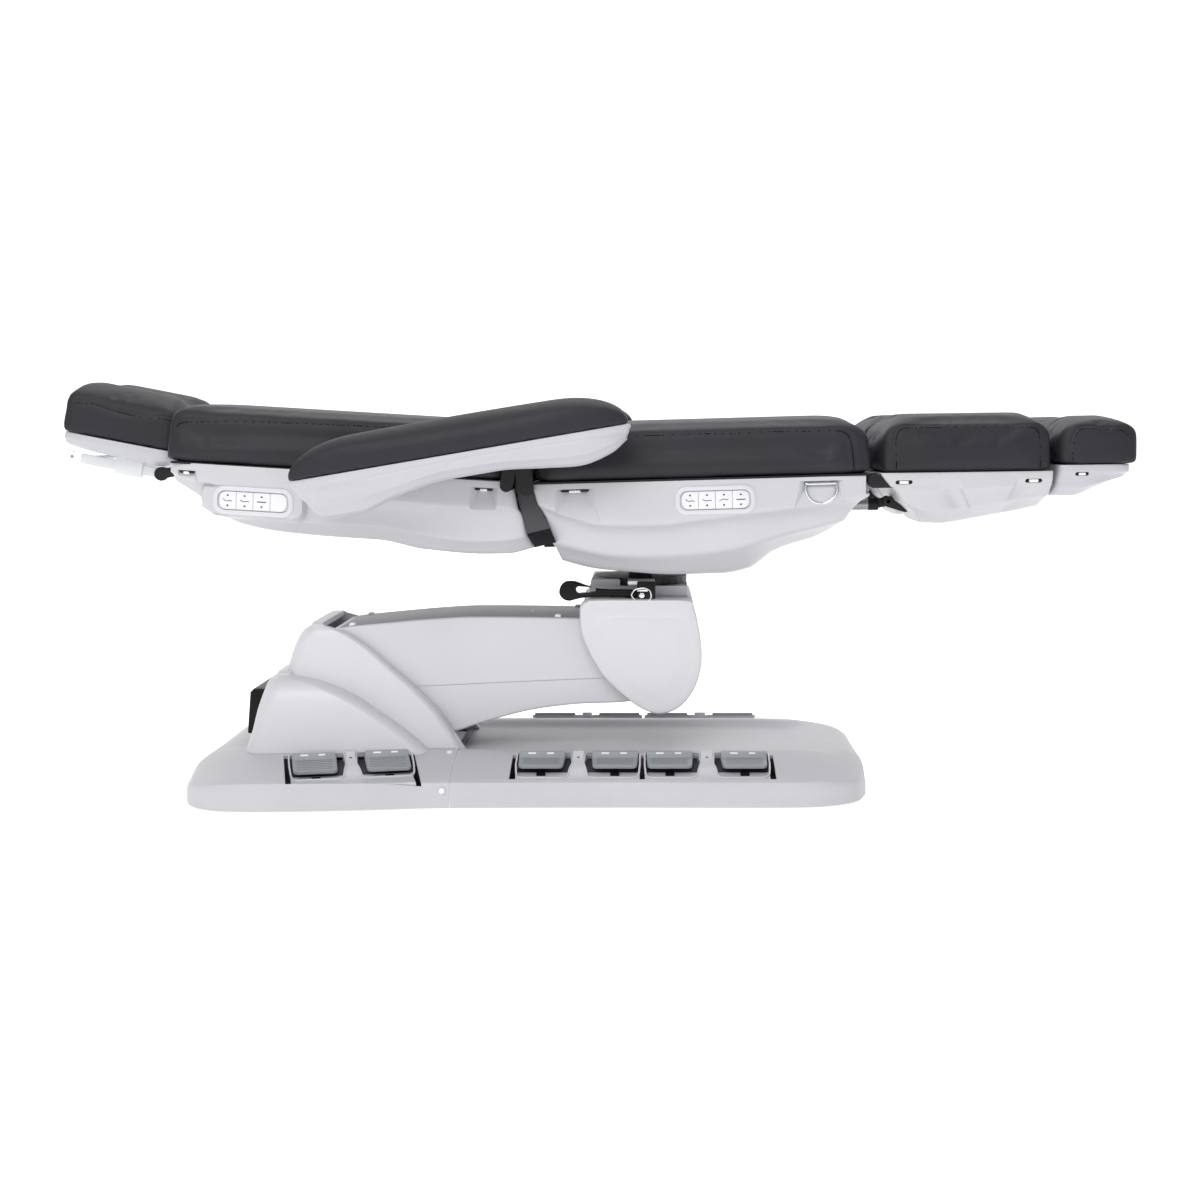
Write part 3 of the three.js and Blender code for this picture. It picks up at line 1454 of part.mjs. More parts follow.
// Leg rests: two halves, each a calf tray hinged to the seat frame and a foot tray that slides out of it
const calf = {
  length: 304,
  depth: 93,
  lowerIn: 12,
  keelIn: 42,
  wall: 5,
  endWall: 7,
  lugX: 22,
  ribX: [262, 268],
};
const foot = {
  x: 315,
  z: 10,
  length: 128,
  depth: 57,
  keelIn: 37,
  floor: 4,
  rodY: 70,
  rodZ: -25,
  rod: 7,
  rodX: 140,
};
const strut = {
  x: 31,
  z: -56,
  eye: 8.5,
  pin: 4,
  half: 7,
  tube: 11.5,
  tubeZ: -60,
  x0: -230,
  x1: 14,
  neckIn: 4,
  neckHalf: 5,
  cheek: 8,
  plate: 7,
  rootX: 62,
  rootZ: -66,
  root: 10,
};
groups.foot = new THREE.Group();
groups.foot.position.set(foot.x, 0, foot.z);
groups.leg.add(groups.foot);
const kneeInLeg = inSection("leg", kneePivot);

for (const side of [-1, 1]) {
  const centre = side * legCentre;
  const label = side < 0 ? "near" : "far";
  const sorted = (a, b) => pair(side, a, b);
  const calfTray = {
    rows: [
      [0, 0.053, 0.258, 0.138, 0.581, 0.263, 0.989],
      [0.23, 0.247, 0.323, 0.296, 0.753, 0.375, 1],
      [0.493, 0.493, 0.323, 0.526, 0.667, 0.592, 0.892],
      [0.757, 0.757, 0.28, 0.773, 0.559, 0.789, 0.785],
      [1, 0.997, 0.258, 0.984, 0.452, 0.934, 0.688],
    ],
    length: calf.length,
    depth: calf.depth,
    halves: [leg.half, leg.half, leg.half - calf.lowerIn, leg.half - calf.keelIn],
    planShares: [0.98, 1, 1, 1, 0.985],
    centre,
    rimZ: -gap,
  };
  const shell = hollowTray(calfTray, { side: calf.wall, floor: calf.wall, end: calf.endWall });
  const inner = leg.half - calf.wall / 2;
  const ribBlock = box(...calf.ribX, centre - inner, centre + inner, -calf.depth - overrun, -2 * gap);
  const rib = ribBlock.intersect(tray(calfTray));
  const parts = [shell, rib];
  const holes = [];
  for (const y of [leg.outerEarY, leg.innerEarY]) {
    const from = y + wall.plate + leg.lugGap;
    const lugY = sorted(from, from + wall.plate);
    const room = sorted(y - overlap, from - gap / 2);
    parts.push(strap(kneeInLeg, [calf.lugX, kneeInLeg[1]], leg.lugRadius, ...lugY));
    holes.push(barY(kneeInLeg, boreRadius(leg.pin), ...sorted(from - overrun, from + wall.plate + overlap)));
    holes.push(barY(kneeInLeg, leg.lugRadius + leg.lugRoom, ...room, sides.disc));
  }
  const middle = side * leg.strutY;
  for (const cheek of [-1, 1]) {
    const y = pair(cheek, strut.cheek, strut.cheek + strut.plate).map((place) => middle + place);
    parts.push(strap([strut.x, strut.z], [strut.rootX, strut.rootZ], strut.root, ...y));
  }
  const reach = strut.cheek + strut.plate;
  parts.push(barY([strut.x, strut.z], strut.pin, middle - reach, middle + reach));
  for (const rod of [-1, 1]) {
    const y = centre + rod * foot.rodY;
    holes.push(barX(y, foot.rodZ, boreRadius(foot.rod, sides.rod), calf.ribX[0] - overrun, foot.x + overrun));
  }
  add(`calf_shell_${label}`, cut(join(...parts), ...holes), "moulding", groups.leg);
  add(
    `calf_cushion_${label}`,
    cushion({ ...onTray(pad.calf, 0, calf.length, leg.half), steps: padSteps.usual, centre }),
    "leatherette",
    groups.leg,
  );

  const eye = barY([strut.x, strut.z], strut.eye, middle - strut.half, middle + strut.half, sides.disc);
  const neck = box(
    strut.x1 - strut.neckIn, strut.x, middle - strut.half, middle + strut.half,
    strut.tubeZ - strut.neckHalf, strut.tubeZ + strut.neckHalf,
  );
  const tube = barX(middle, strut.tubeZ, strut.tube, strut.x0, strut.x1, sides.disc);
  const bore = barY([strut.x, strut.z], boreRadius(strut.pin), middle - overrun, middle + overrun);
  add(`leg_strut_${label}`, cut(join(tube, neck, eye), bore), "steel", groups.leg);

  const footTray = {
    rows: [
      [0, -0.016, 0.351, -0.039, 0.702, -0.062, 0.982],
      [0.352, 0.352, 0.316, 0.289, 0.702, 0.234, 1],
      [0.703, 0.664, 0.281, 0.602, 0.561, 0.547, 0.737],
      [1, 1, 0.246, 0.945, 0.386, 0.82, 0.491],
    ],
    length: foot.length,
    depth: foot.depth,
    halves: [leg.half, leg.half, leg.half - calf.lowerIn, leg.half - foot.keelIn],
    planShares: [0.98, 1, 0.97, 0.82],
    centre,
    rimZ: -gap,
  };
  const rods = [-1, 1].map((rod) =>
    barX(centre + rod * foot.rodY, foot.rodZ - foot.z, foot.rod, foot.rodX - foot.x, foot.floor),
  );
  const footShell = hollowTray(footTray, { side: calf.wall, floor: foot.floor, end: calf.wall });
  add(`foot_shell_${label}`, join(footShell, ...rods), "moulding", groups.foot);
  add(
    `foot_cushion_${label}`,
    cushion({ ...onTray(pad.foot, 0, foot.length, leg.half), steps: padSteps.short, centre }),
    "leatherette",
    groups.foot,
  );
}

export default table;
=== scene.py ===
"""Electric spa treatment table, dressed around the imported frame.

Lengths in the tables are millimetres in the frame's axes: +X towards the foot end, +Y to the far side, +Z up.
Each section of the top has its own origin and slope, and its pieces are drawn there and then placed.
"""

import math

import bmesh
import bpy
import numpy as np
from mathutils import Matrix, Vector
from mathutils.bvhtree import BVHTree


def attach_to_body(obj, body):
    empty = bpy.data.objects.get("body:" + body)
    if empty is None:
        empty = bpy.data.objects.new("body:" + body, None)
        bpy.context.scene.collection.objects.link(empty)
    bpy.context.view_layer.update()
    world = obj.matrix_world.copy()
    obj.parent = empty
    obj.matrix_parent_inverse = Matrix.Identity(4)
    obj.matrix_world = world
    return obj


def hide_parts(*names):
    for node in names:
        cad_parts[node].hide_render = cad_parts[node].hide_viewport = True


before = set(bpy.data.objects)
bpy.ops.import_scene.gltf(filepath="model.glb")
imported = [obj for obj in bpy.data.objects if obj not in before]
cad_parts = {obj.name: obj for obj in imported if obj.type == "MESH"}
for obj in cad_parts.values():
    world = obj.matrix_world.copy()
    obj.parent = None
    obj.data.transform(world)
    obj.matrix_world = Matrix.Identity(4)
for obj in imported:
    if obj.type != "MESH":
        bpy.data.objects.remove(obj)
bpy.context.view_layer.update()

MM = 0.001
SHARP = math.radians(32)
EDGE = 0.8
BLOCK_BEVEL = 1.2
TUBE_SIDES = 14
SECTIONS = {
    "base": (0, 0, 0),
    "seat": (-95.8, 579.1, 1.6),
    "back": (-148.7, 582.8, -3.35),
    "head": (-768.8, 631.6, -10.9),
    "leg": (513.9, 595.7, 0.76),
    "arm": (-505.2, 583.2, 9.7),
}
FOOT_AT = (315, 10)
TOP_HALF = 285


# Placing and meshes


def placed(points, section, shift=(0, 0)):
    """Points of a section, in millimetres, as points of the frame."""
    origin_x, origin_z, slope = SECTIONS[section]
    c, s = math.cos(math.radians(slope)), math.sin(math.radians(slope))
    p = np.array(points, float).reshape(-1, 3)
    x, z = p[:, 0] + shift[0], p[:, 2] + shift[1]
    return np.column_stack([origin_x + x * c - z * s, p[:, 1], origin_z + x * s + z * c])


def direction(vector, section):
    """A direction of a section, in the frame."""
    ends = placed([(0, 0, 0), vector], section)
    return Vector(ends[1] - ends[0]).normalized()


def finish_mesh(mesh, angle=SHARP):
    mesh.polygons.foreach_set("use_smooth", [True] * len(mesh.polygons))
    mesh.set_sharp_from_angle(angle=angle)
    mesh.update()


def new_object(name, points, faces, material=None):
    """An object whose points are given in millimetres of the frame."""
    mesh = bpy.data.meshes.new(name)
    mesh.from_pydata((np.array(points, float) * MM).tolist(), [], [tuple(int(i) for i in f) for f in faces])
    work = bmesh.new()
    work.from_mesh(mesh)
    bmesh.ops.recalc_face_normals(work, faces=work.faces)
    work.to_mesh(mesh)
    work.free()
    finish_mesh(mesh)
    obj = bpy.data.objects.new(name, mesh)
    bpy.context.scene.collection.objects.link(obj)
    if material:
        mesh.materials.append(material)
    return obj


def evaluated(obj):
    """Replaces the object's mesh by what its modifiers make of it."""
    graph = bpy.context.evaluated_depsgraph_get()
    mesh = bpy.data.meshes.new_from_object(obj.evaluated_get(graph))
    obj.modifiers.clear()
    obj.data = mesh
    return obj


def carve(obj, cutters, operation="DIFFERENCE"):
    for cutter in cutters:
        step = obj.modifiers.new("carve", "BOOLEAN")
        step.object = cutter
        step.operation = operation
        step.solver = "MANIFOLD"
    evaluated(obj)
    for cutter in cutters:
        bpy.data.objects.remove(cutter)
    finish_mesh(obj.data)
    return obj


def joined(name, objects):
    """One object from several, each keeping its materials."""
    work = bmesh.new()
    mesh = bpy.data.meshes.new(name)
    for obj in objects:
        offset = len(mesh.materials)
        for material in obj.data.materials:
            mesh.materials.append(material)
        before = len(work.faces)
        work.from_mesh(obj.data)
        work.faces.ensure_lookup_table()
        for face in work.faces[before:]:
            face.material_index += offset
    work.to_mesh(mesh)
    work.free()
    for obj in objects:
        bpy.data.objects.remove(obj)
    whole = bpy.data.objects.new(name, mesh)
    bpy.context.scene.collection.objects.link(whole)
    return whole


def attach(obj, body, nodes=()):
    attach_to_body(obj, body)
    if nodes:
        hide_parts(*nodes)
    return obj


def smooth_table(keys, values, places):
    """Values at the places, on a smooth curve through the keys that doesn't overshoot."""
    keys, values = np.array(keys, float), np.array(values, float).reshape(len(keys), -1)
    step = np.diff(keys)[:, None]
    rise = np.diff(values, axis=0) / step
    slope = np.zeros_like(values)
    together = rise[:-1] * rise[1:] > 0
    safe = np.where(together, rise[:-1] * rise[1:], 1)
    mean = 2 * safe / np.where(together, rise[:-1] + rise[1:], 1)
    slope[1:-1] = np.where(together, mean, 0)
    slope[0], slope[-1] = rise[0], rise[-1]
    i = np.clip(np.searchsorted(keys, places, side="right") - 1, 0, len(keys) - 2)
    t = ((np.array(places) - keys[i]) / (keys[i + 1] - keys[i]))[:, None]
    h = step[i]
    return (
        values[i] * (1 + 2 * t) * (1 - t) ** 2
        + slope[i] * h * t * (1 - t) ** 2
        + values[i + 1] * t**2 * (3 - 2 * t)
        - slope[i + 1] * h * t**2 * (1 - t)
    )


def closed_curve(points, count):
    """Points on a smooth closed curve through a few, evenly spaced."""
    ring = np.array(points, float)
    ahead, behind, after = np.roll(ring, -1, 0), np.roll(ring, 1, 0), np.roll(ring, -2, 0)
    t = np.linspace(0, 1, 24, endpoint=False)[:, None, None]
    fine = 0.5 * (
        2 * ring
        + (ahead - behind) * t
        + (2 * behind - 5 * ring + 4 * ahead - after) * t**2
        + (3 * ring - behind - 3 * ahead + after) * t**3
    )
    fine = fine.transpose(1, 0, 2).reshape(-1, ring.shape[1])
    return even(np.vstack([fine, fine[:1]]), count + 1)[:-1]


def even(points, count):
    """Points evenly spaced along a line of points."""
    points = np.array(points, float)
    run = np.concatenate([[0], np.cumsum(np.linalg.norm(np.diff(points, axis=0), axis=1))])
    at = np.linspace(0, run[-1], count)
    return np.column_stack([np.interp(at, run, points[:, k]) for k in range(points.shape[1])])


def rounded(points, radius, steps=5):
    """A closed outline with each corner rounded by an arc."""
    points = [np.array(p, float) for p in points]
    radii = radius if hasattr(radius, "__len__") else [radius] * len(points)
    out = []
    for i, corner in enumerate(points):
        before, after = points[i - 1], points[(i + 1) % len(points)]
        u, v = before - corner, after - corner
        lu, lv = np.linalg.norm(u), np.linalg.norm(v)
        u, v = u / lu, v / lv
        half = math.acos(max(-1, min(1, float(u @ v)))) / 2
        if radii[i] <= 0 or half > math.pi / 2 - 0.05:
            out.append(corner)
            continue
        reach = min(radii[i] / math.tan(half), 0.48 * lu, 0.48 * lv)
        r = reach * math.tan(half)
        centre = corner + (u + v) / np.linalg.norm(u + v) * (r / math.sin(half))
        a, b = corner + u * reach - centre, corner + v * reach - centre
        for k in range(steps + 1):
            t = k / steps
            sweep = a * math.cos(t * math.pi / 2) ** 2 + b * math.sin(t * math.pi / 2) ** 2
            out.append(centre + sweep / np.linalg.norm(sweep) * r)
    return np.array(out)


def skin(rings, caps=True):
    """Points and faces of a skin over closed rings of equal count."""
    rings = np.array(rings, float)
    rows, count, _ = rings.shape
    faces = []
    for i in range(rows - 1):
        for j in range(count):
            k = (j + 1) % count
            faces.append((i * count + j, i * count + k, (i + 1) * count + k, (i + 1) * count + j))
    if caps:
        faces.append(tuple(range(count - 1, -1, -1)))
        faces.append(tuple(range((rows - 1) * count, rows * count)))
    return rings.reshape(-1, 3), faces


def turned(points, faces, section="base", shift=(0, 0), name="part", material=None):
    """An object whose points are given in a section's own frame."""
    return new_object(name, placed(points, section, shift), faces, material)


def slab(outline, y0, y1, section="base", shift=(0, 0), bevel=0, name="cutter", material=None):
    """A plate with an outline of [x, z] points, between two Y places, with rounded edges."""
    outline = np.array(outline, float)
    low, high = min(y0, y1), max(y0, y1)
    rings = []
    levels = [(low, 0), (high, 0)]
    if bevel:
        arc = [(1 - math.cos(a), 1 - math.sin(a)) for a in np.linspace(0, math.pi / 2, 4)]
        levels = [(low + bevel * a, bevel * b) for a, b in arc]
        levels += [(high - bevel * a, bevel * b) for a, b in reversed(arc)]
    inward = normals_of(outline)
    for y, inset in levels:
        line = outline + inward * inset
        rings.append(np.column_stack([line[:, 0], np.full(len(line), y), line[:, 1]]))
    return turned(*skin(rings), section, shift, name, material)


def normals_of(outline):
    """For each point of a closed outline, the way in, long enough to inset both its edges."""
    ahead = np.roll(outline, -1, 0) - outline
    ahead /= np.maximum(np.linalg.norm(ahead, axis=1), 1e-9)[:, None]
    behind = np.roll(ahead, 1, 0)
    area = np.sum(outline[:, 0] * np.roll(outline[:, 1], -1) - np.roll(outline[:, 0], -1) * outline[:, 1])
    turn = 1 if area > 0 else -1
    normal = ahead + behind
    normal = np.column_stack([-normal[:, 1], normal[:, 0]]) * turn
    normal /= np.maximum(np.linalg.norm(normal, axis=1), 1e-9)[:, None]
    flat = np.column_stack([-ahead[:, 1], ahead[:, 0]]) * turn
    return normal / np.maximum(np.sum(normal * flat, axis=1), 0.5)[:, None]


def block(x, y, z, section="base", shift=(0, 0), radius=0, name="cutter", material=None):
    """A block, with its upright-face corners rounded where a radius is given."""
    outline = [(x[0], z[0]), (x[1], z[0]), (x[1], z[1]), (x[0], z[1])]
    if radius:
        outline = rounded(outline, radius)
    return slab(outline, *y, section, shift, min(radius, BLOCK_BEVEL), name, material)


def bar(start, end, radius, name="bar", material=None, count=24, bevel=EDGE):
    """A round bar between two points of the frame, with chamfered ends."""
    start, end = np.array(start, float), np.array(end, float)
    along = (end - start) / np.linalg.norm(end - start)
    side = np.cross(along, (0, 0, 1) if abs(along[2]) < 0.9 else (1, 0, 0))
    side /= np.linalg.norm(side)
    other = np.cross(along, side)
    angle = np.linspace(0, 2 * math.pi, count, endpoint=False)[:, None]
    round_ = np.cos(angle) * side + np.sin(angle) * other
    rings = [
        start + round_ * (radius - bevel),
        start + along * bevel + round_ * radius,
        end - along * bevel + round_ * radius,
        end + round_ * (radius - bevel),
    ]
    return new_object(name, *skin(rings), material)


def strap(start, end, radius, y, section, name="strap", material=None):
    """A plate with round ends between two [x, z] places of a section."""
    start, end = np.array(start, float), np.array(end, float)
    turn = math.atan2(end[1] - start[1], end[0] - start[0])
    outline = []
    for centre, first in ((end, turn - math.pi / 2), (start, turn + math.pi / 2)):
        for a in np.linspace(first, first + math.pi, 14):
            outline.append(centre + radius * np.array((math.cos(a), math.sin(a))))
    return slab(outline, *y, section, bevel=EDGE, name=name, material=material)


def loop_of_wire(points, radius, name, material):
    """A closed loop of round wire along points of the frame, in a plane along X and Z."""
    points = np.array(points, float)
    ahead = np.roll(points, -1, 0) - np.roll(points, 1, 0)
    ahead /= np.linalg.norm(ahead, axis=1)[:, None]
    up = np.array((0, 1.0, 0))
    angle = np.linspace(0, 2 * math.pi, TUBE_SIDES, endpoint=False)
    rings = []
    for p, a in zip(points, ahead):
        side = np.cross(a, up)
        side /= np.linalg.norm(side)
        other = np.cross(side, a)
        rings.append(p + radius * (np.cos(angle)[:, None] * side + np.sin(angle)[:, None] * other))
    obj = new_object(name, *skin([*rings, rings[0]], caps=False), material)
    work = bmesh.new()
    work.from_mesh(obj.data)
    bmesh.ops.remove_doubles(work, verts=work.verts, dist=1e-6)
    bmesh.ops.recalc_face_normals(work, faces=work.faces)
    work.to_mesh(obj.data)
    work.free()
    finish_mesh(obj.data)
    return obj


# Materials


def material(name, colour, roughness, metallic=0.0, grain=None, vary=0.03, spread=0.06, **shader):
    """A procedural finish: slow colour and roughness variation, and fine grain as [size in mm, strength]."""
    mat = bpy.data.materials.new(name)
    mat.use_nodes = True
    nodes, links = mat.node_tree.nodes, mat.node_tree.links
    surface = nodes["Principled BSDF"]
    surface.inputs["Metallic"].default_value = metallic
    for socket, value in shader.items():
        surface.inputs[socket.replace("_", " ")].default_value = value
    place = nodes.new("ShaderNodeTexCoord")
    slow = nodes.new("ShaderNodeTexNoise")
    slow.inputs["Scale"].default_value = 9
    slow.inputs["Detail"].default_value = 4
    links.new(place.outputs["Object"], slow.inputs["Vector"])
    ramp = nodes.new("ShaderNodeValToRGB")
    low, high = ramp.color_ramp.elements
    low.position, high.position = 0.3, 0.7
    low.color = (*[c * (1 - vary) for c in colour], 1)
    high.color = (*[min(1, c * (1 + vary)) for c in colour], 1)
    links.new(slow.outputs["Fac"], ramp.inputs["Fac"])
    links.new(ramp.outputs["Color"], surface.inputs["Base Color"])
    rough = nodes.new("ShaderNodeMapRange")
    rough.inputs["To Min"].default_value = roughness - spread
    rough.inputs["To Max"].default_value = roughness + spread
    detail = nodes.new("ShaderNodeTexNoise")
    detail.inputs["Scale"].default_value = 60
    detail.inputs["Detail"].default_value = 5
    links.new(place.outputs["Object"], detail.inputs["Vector"])
    links.new(detail.outputs["Fac"], rough.inputs["Value"])
    links.new(rough.outputs["Result"], surface.inputs["Roughness"])
    if grain:
        size, strength = grain
        fine = nodes.new("ShaderNodeTexNoise")
        fine.inputs["Scale"].default_value = 1000 / size
        fine.inputs["Detail"].default_value = 2
        bump = nodes.new("ShaderNodeBump")
        bump.inputs["Strength"].default_value = strength
        bump.inputs["Distance"].default_value = 0.15 * size * MM
        links.new(place.outputs["Object"], fine.inputs["Vector"])
        links.new(fine.outputs["Fac"], bump.inputs["Height"])
        links.new(bump.outputs["Normal"], surface.inputs["Normal"])
    return mat


def leather(name, colour):
    """Leatherette: pebbled grain from cells, with soft creases."""
    mat = material(name, colour, 0.52, vary=0.07, spread=0.05, Specular_IOR_Level=0.24)
    nodes, links = mat.node_tree.nodes, mat.node_tree.links
    place = nodes.new("ShaderNodeTexCoord")
    cells = nodes.new("ShaderNodeTexVoronoi")
    cells.feature = "DISTANCE_TO_EDGE"
    cells.inputs["Scale"].default_value = 620
    crease = nodes.new("ShaderNodeTexNoise")
    crease.inputs["Scale"].default_value = 34
    crease.inputs["Detail"].default_value = 6
    crease.inputs["Distortion"].default_value = 0.6
    for texture in (cells, crease):
        links.new(place.outputs["Object"], texture.inputs["Vector"])
    first, second = nodes.new("ShaderNodeBump"), nodes.new("ShaderNodeBump")
    first.inputs["Strength"].default_value = 0.18
    first.inputs["Distance"].default_value = 0.004
    second.inputs["Strength"].default_value = 0.35
    second.inputs["Distance"].default_value = 0.0004
    links.new(crease.outputs["Fac"], first.inputs["Height"])
    links.new(cells.outputs["Distance"], second.inputs["Height"])
    links.new(first.outputs["Normal"], second.inputs["Normal"])
    links.new(second.outputs["Normal"], nodes["Principled BSDF"].inputs["Normal"])
    return mat


def linear(hex_colour):
    """A screen colour, such as 0xd9d9dd, as linear light."""
    parts = [(hex_colour >> shift & 255) / 255 for shift in (16, 8, 0)]
    return [c / 12.92 if c <= 0.04045 else ((c + 0.055) / 1.055) ** 2.4 for c in parts]


MOULDING = material("moulding", linear(0xB9B9BD), 0.38, grain=(0.9, 0.10), vary=0.015)
SKIRT = material("base_moulding", linear(0xBABABE), 0.44, grain=(1.1, 0.14), vary=0.02)
ARM_PAINT = material("arm_paint", linear(0xC8C8CC), 0.42, grain=(1.4, 0.12), vary=0.012)
# A darker grey for the strip over the arm's top: painted shade, where the seat above keeps the light off the
# top.
ARM_TOP_SHADE = material("arm_top_painted_shade", linear(0x828288), 0.5, grain=(1.2, 0.16), vary=0.02)
# A darker copy of the same moulding plastic for the headrest, armrest and foot shells: painted shade, standing
# in for the less light that reaches them.
REST_SHADED = material("rest_moulding_painted_shade", linear(0xB2B2B7), 0.4, grain=(0.9, 0.10), vary=0.015)
HOOD_PAINT = material("hood_moulding", linear(0xC8C8CC), 0.4, grain=(0.9, 0.12), vary=0.015)
LEATHER = leather("leatherette", linear(0x27262B))
THREAD = material("thread", linear(0x0C0C0E), 0.8, grain=(0.4, 0.4), Specular_IOR_Level=0.1)
STEEL = material("black_steel", linear(0x151517), 0.42, grain=(0.7, 0.2), vary=0.08, Specular_IOR_Level=0.3)
PEDAL = material("pedal_grey", linear(0x929599), 0.42, grain=(0.6, 0.2), vary=0.02)
TRAY = material("tray_white", linear(0xC6C6CA), 0.35, grain=(0.8, 0.08), vary=0.01)
KEY = material("key_white", linear(0xD6D6DA), 0.38, grain=(0.5, 0.05), vary=0.01)
INK = material("print_grey", linear(0x26262A), 0.7, vary=0.03, Specular_IOR_Level=0.1)
WHITE = material("white_cap", linear(0xE2E2E5), 0.3, grain=(0.8, 0.05), vary=0.01)
CHROME = material("chrome", linear(0xD6D8DB), 0.1, 1.0, vary=0.02, spread=0.04)
ALUMINIUM = material("aluminium", linear(0xE2E4E6), 0.3, 0.45, grain=(0.5, 0.15), vary=0.04)
GREY_STEEL = material("satin_steel", linear(0x8B8B8E), 0.32, 0.9, grain=(0.4, 0.2), vary=0.06)
BLACK = material("black_plastic", linear(0x0B0B0D), 0.36, grain=(0.7, 0.2), vary=0.1,
                 Specular_IOR_Level=0.2)
# Dark grey for the rear panel's switch and the tray dots, and painted shade on the floors of the hook and leg
# slots.
DARK_TRIM_AND_SLOT_SHADE = material("dark_trim_and_slot_shade", linear(0x2B2B2E), 0.6, grain=(1.0, 0.2), vary=0.1, Specular_IOR_Level=0.2)
# Dark grey of the gap panel behind the seat; under the pedals the same grey is painted shade on the floor
# below each pad.
GAP_PANEL_AND_PAD_SHADE = material("gap_panel_and_pad_shade", linear(0x444447), 0.5, grain=(0.9, 0.3), vary=0.05, Specular_IOR_Level=0.25)


# Moulded trays below the cushions. A tray's rows run along it, in shares of its length and depth: the place of
# the rim, then the place and drop of the wall's foot, of the undercut's bend and of the keel. Its halves are
# the half widths at those four levels, and its plan scales them row by row.


TRAY_LIP = 1.6
CORE_SPACING = 14
CORE_ABOVE = 30


def softened(line, times):
    """A line with its bends eased, and its ends as they were."""
    for _ in range(times):
        inner = 0.25 * line[..., :-2, :] + 0.5 * line[..., 1:-1, :] + 0.25 * line[..., 2:, :]
        line = np.concatenate([line[..., :1, :], inner, line[..., -1:, :]], axis=-2)
    return line


def tray_rings(spec, spacing, inset=None):
    """Rings of a tray, each down the near side, across the floor, up the far side and back over the top."""
    rows = np.array(spec["rows"], float)
    length, depth, halves = spec["length"], spec["depth"], spec["halves"]
    side, floor, end = inset or (0, 0, 0)
    keys = rows[:, 0] * length
    radius = spec.get("corner", 10)
    run = keys[-1] - keys[0]
    arc = radius * (1 - np.cos(np.linspace(0, math.pi / 2, 6)))
    middle = np.linspace(radius, run - radius, max(4, int(run / spacing)))[1:-1]
    along = np.concatenate([arc, middle, run - arc[::-1]])
    at = keys[0] + along
    table = smooth_table(keys, np.column_stack([rows, spec["plan"]]), at)
    near_end = np.minimum(along, run - along)
    pull = radius - np.sqrt(np.maximum(radius**2 - np.maximum(radius - near_end, 0) ** 2, 0))
    squeeze = 1 - 2 * end / run
    centre_x = (keys[0] + keys[-1]) / 2
    rim_z = spec.get("rim", -0.4)
    rings = []
    parts = spec.get("parts", (12, 14, 10))
    for row, place, draw in zip(table, at, pull):
        plan = row[7]
        h = [half * plan - draw - side for half in halves]
        x = [place, row[1] * length, row[3] * length, row[5] * length]
        z = [rim_z, floor - row[2] * depth, floor - row[4] * depth, floor - row[6] * depth]
        if inset:
            z[0] = rim_z + CORE_ABOVE
        line = profile(h, x, z, parts, spec.get("cove", 0.8), lip=0 if inset else TRAY_LIP)
        if "relief" in spec and not inset:
            line[:, 1] = spec["relief"](line[:, 0], line[:, 1], line[:, 2])
        line[:, 0] = centre_x + (line[:, 0] - centre_x) * squeeze
        across = spec.get("across", 9)
        t = np.linspace(-1, 1, across + 2)[1:-1]
        foot = line[-1]
        low = np.column_stack([
            np.full(across, foot[0]), t * foot[1],
            foot[2] - spec.get("sag", 2.5) * (1 - t**2) * (0 if inset else 1),
        ])
        near = line * (1, -1, 1)
        far = line[::-1]
        half_ring = softened(np.vstack([near, low, far]), 0 if inset else 2)
        rim = half_ring[0]
        top = np.column_stack([np.full(across, rim[0]), -t * rim[1] * -1, np.full(across, rim[2])])[::-1]
        rings.append(np.vstack([half_ring, top]))
    rings = np.array(rings)
    rings[..., 1] += spec.get("centre", 0)
    return rings, sum(parts) + (0 if inset else 2) + 1, spec.get("across", 9)


def profile(h, x, z, parts, cove, lip):
    """One side of a section, from the rim down to the keel: a wall, a cove and an undercut."""
    first, second, third = parts
    line = []
    if lip:
        line += [(x[0], h[0] - lip, z[0]), (x[0], h[0] - 0.3 * lip, z[0] - 0.3 * lip)]
    for k in range(first):
        t = k / first
        line.append((
            x[0] + (x[1] - x[0]) * t, h[0] + (h[1] - h[0]) * t, z[0] - lip + (z[1] - z[0] + lip) * t,
        ))
    bends = [(1, 2, cove, 0.16, second), (2, 3, 0.5, 0.3, third)]
    for a, b, inward, down, count in bends:
        turn_y = h[a] + (h[b] - h[a]) * inward
        turn_z = z[a] + (z[b] - z[a]) * down
        for k in range(count):
            t = k / count
            keep, bend, go = (1 - t) ** 2, 2 * t * (1 - t), t * t
            line.append((
                x[a] + (x[b] - x[a]) * t,
                keep * h[a] + bend * turn_y + go * h[b],
                keep * z[a] + bend * turn_z + go * z[b],
            ))
    line.append((x[3], h[3], z[3]))
    return np.array(line)


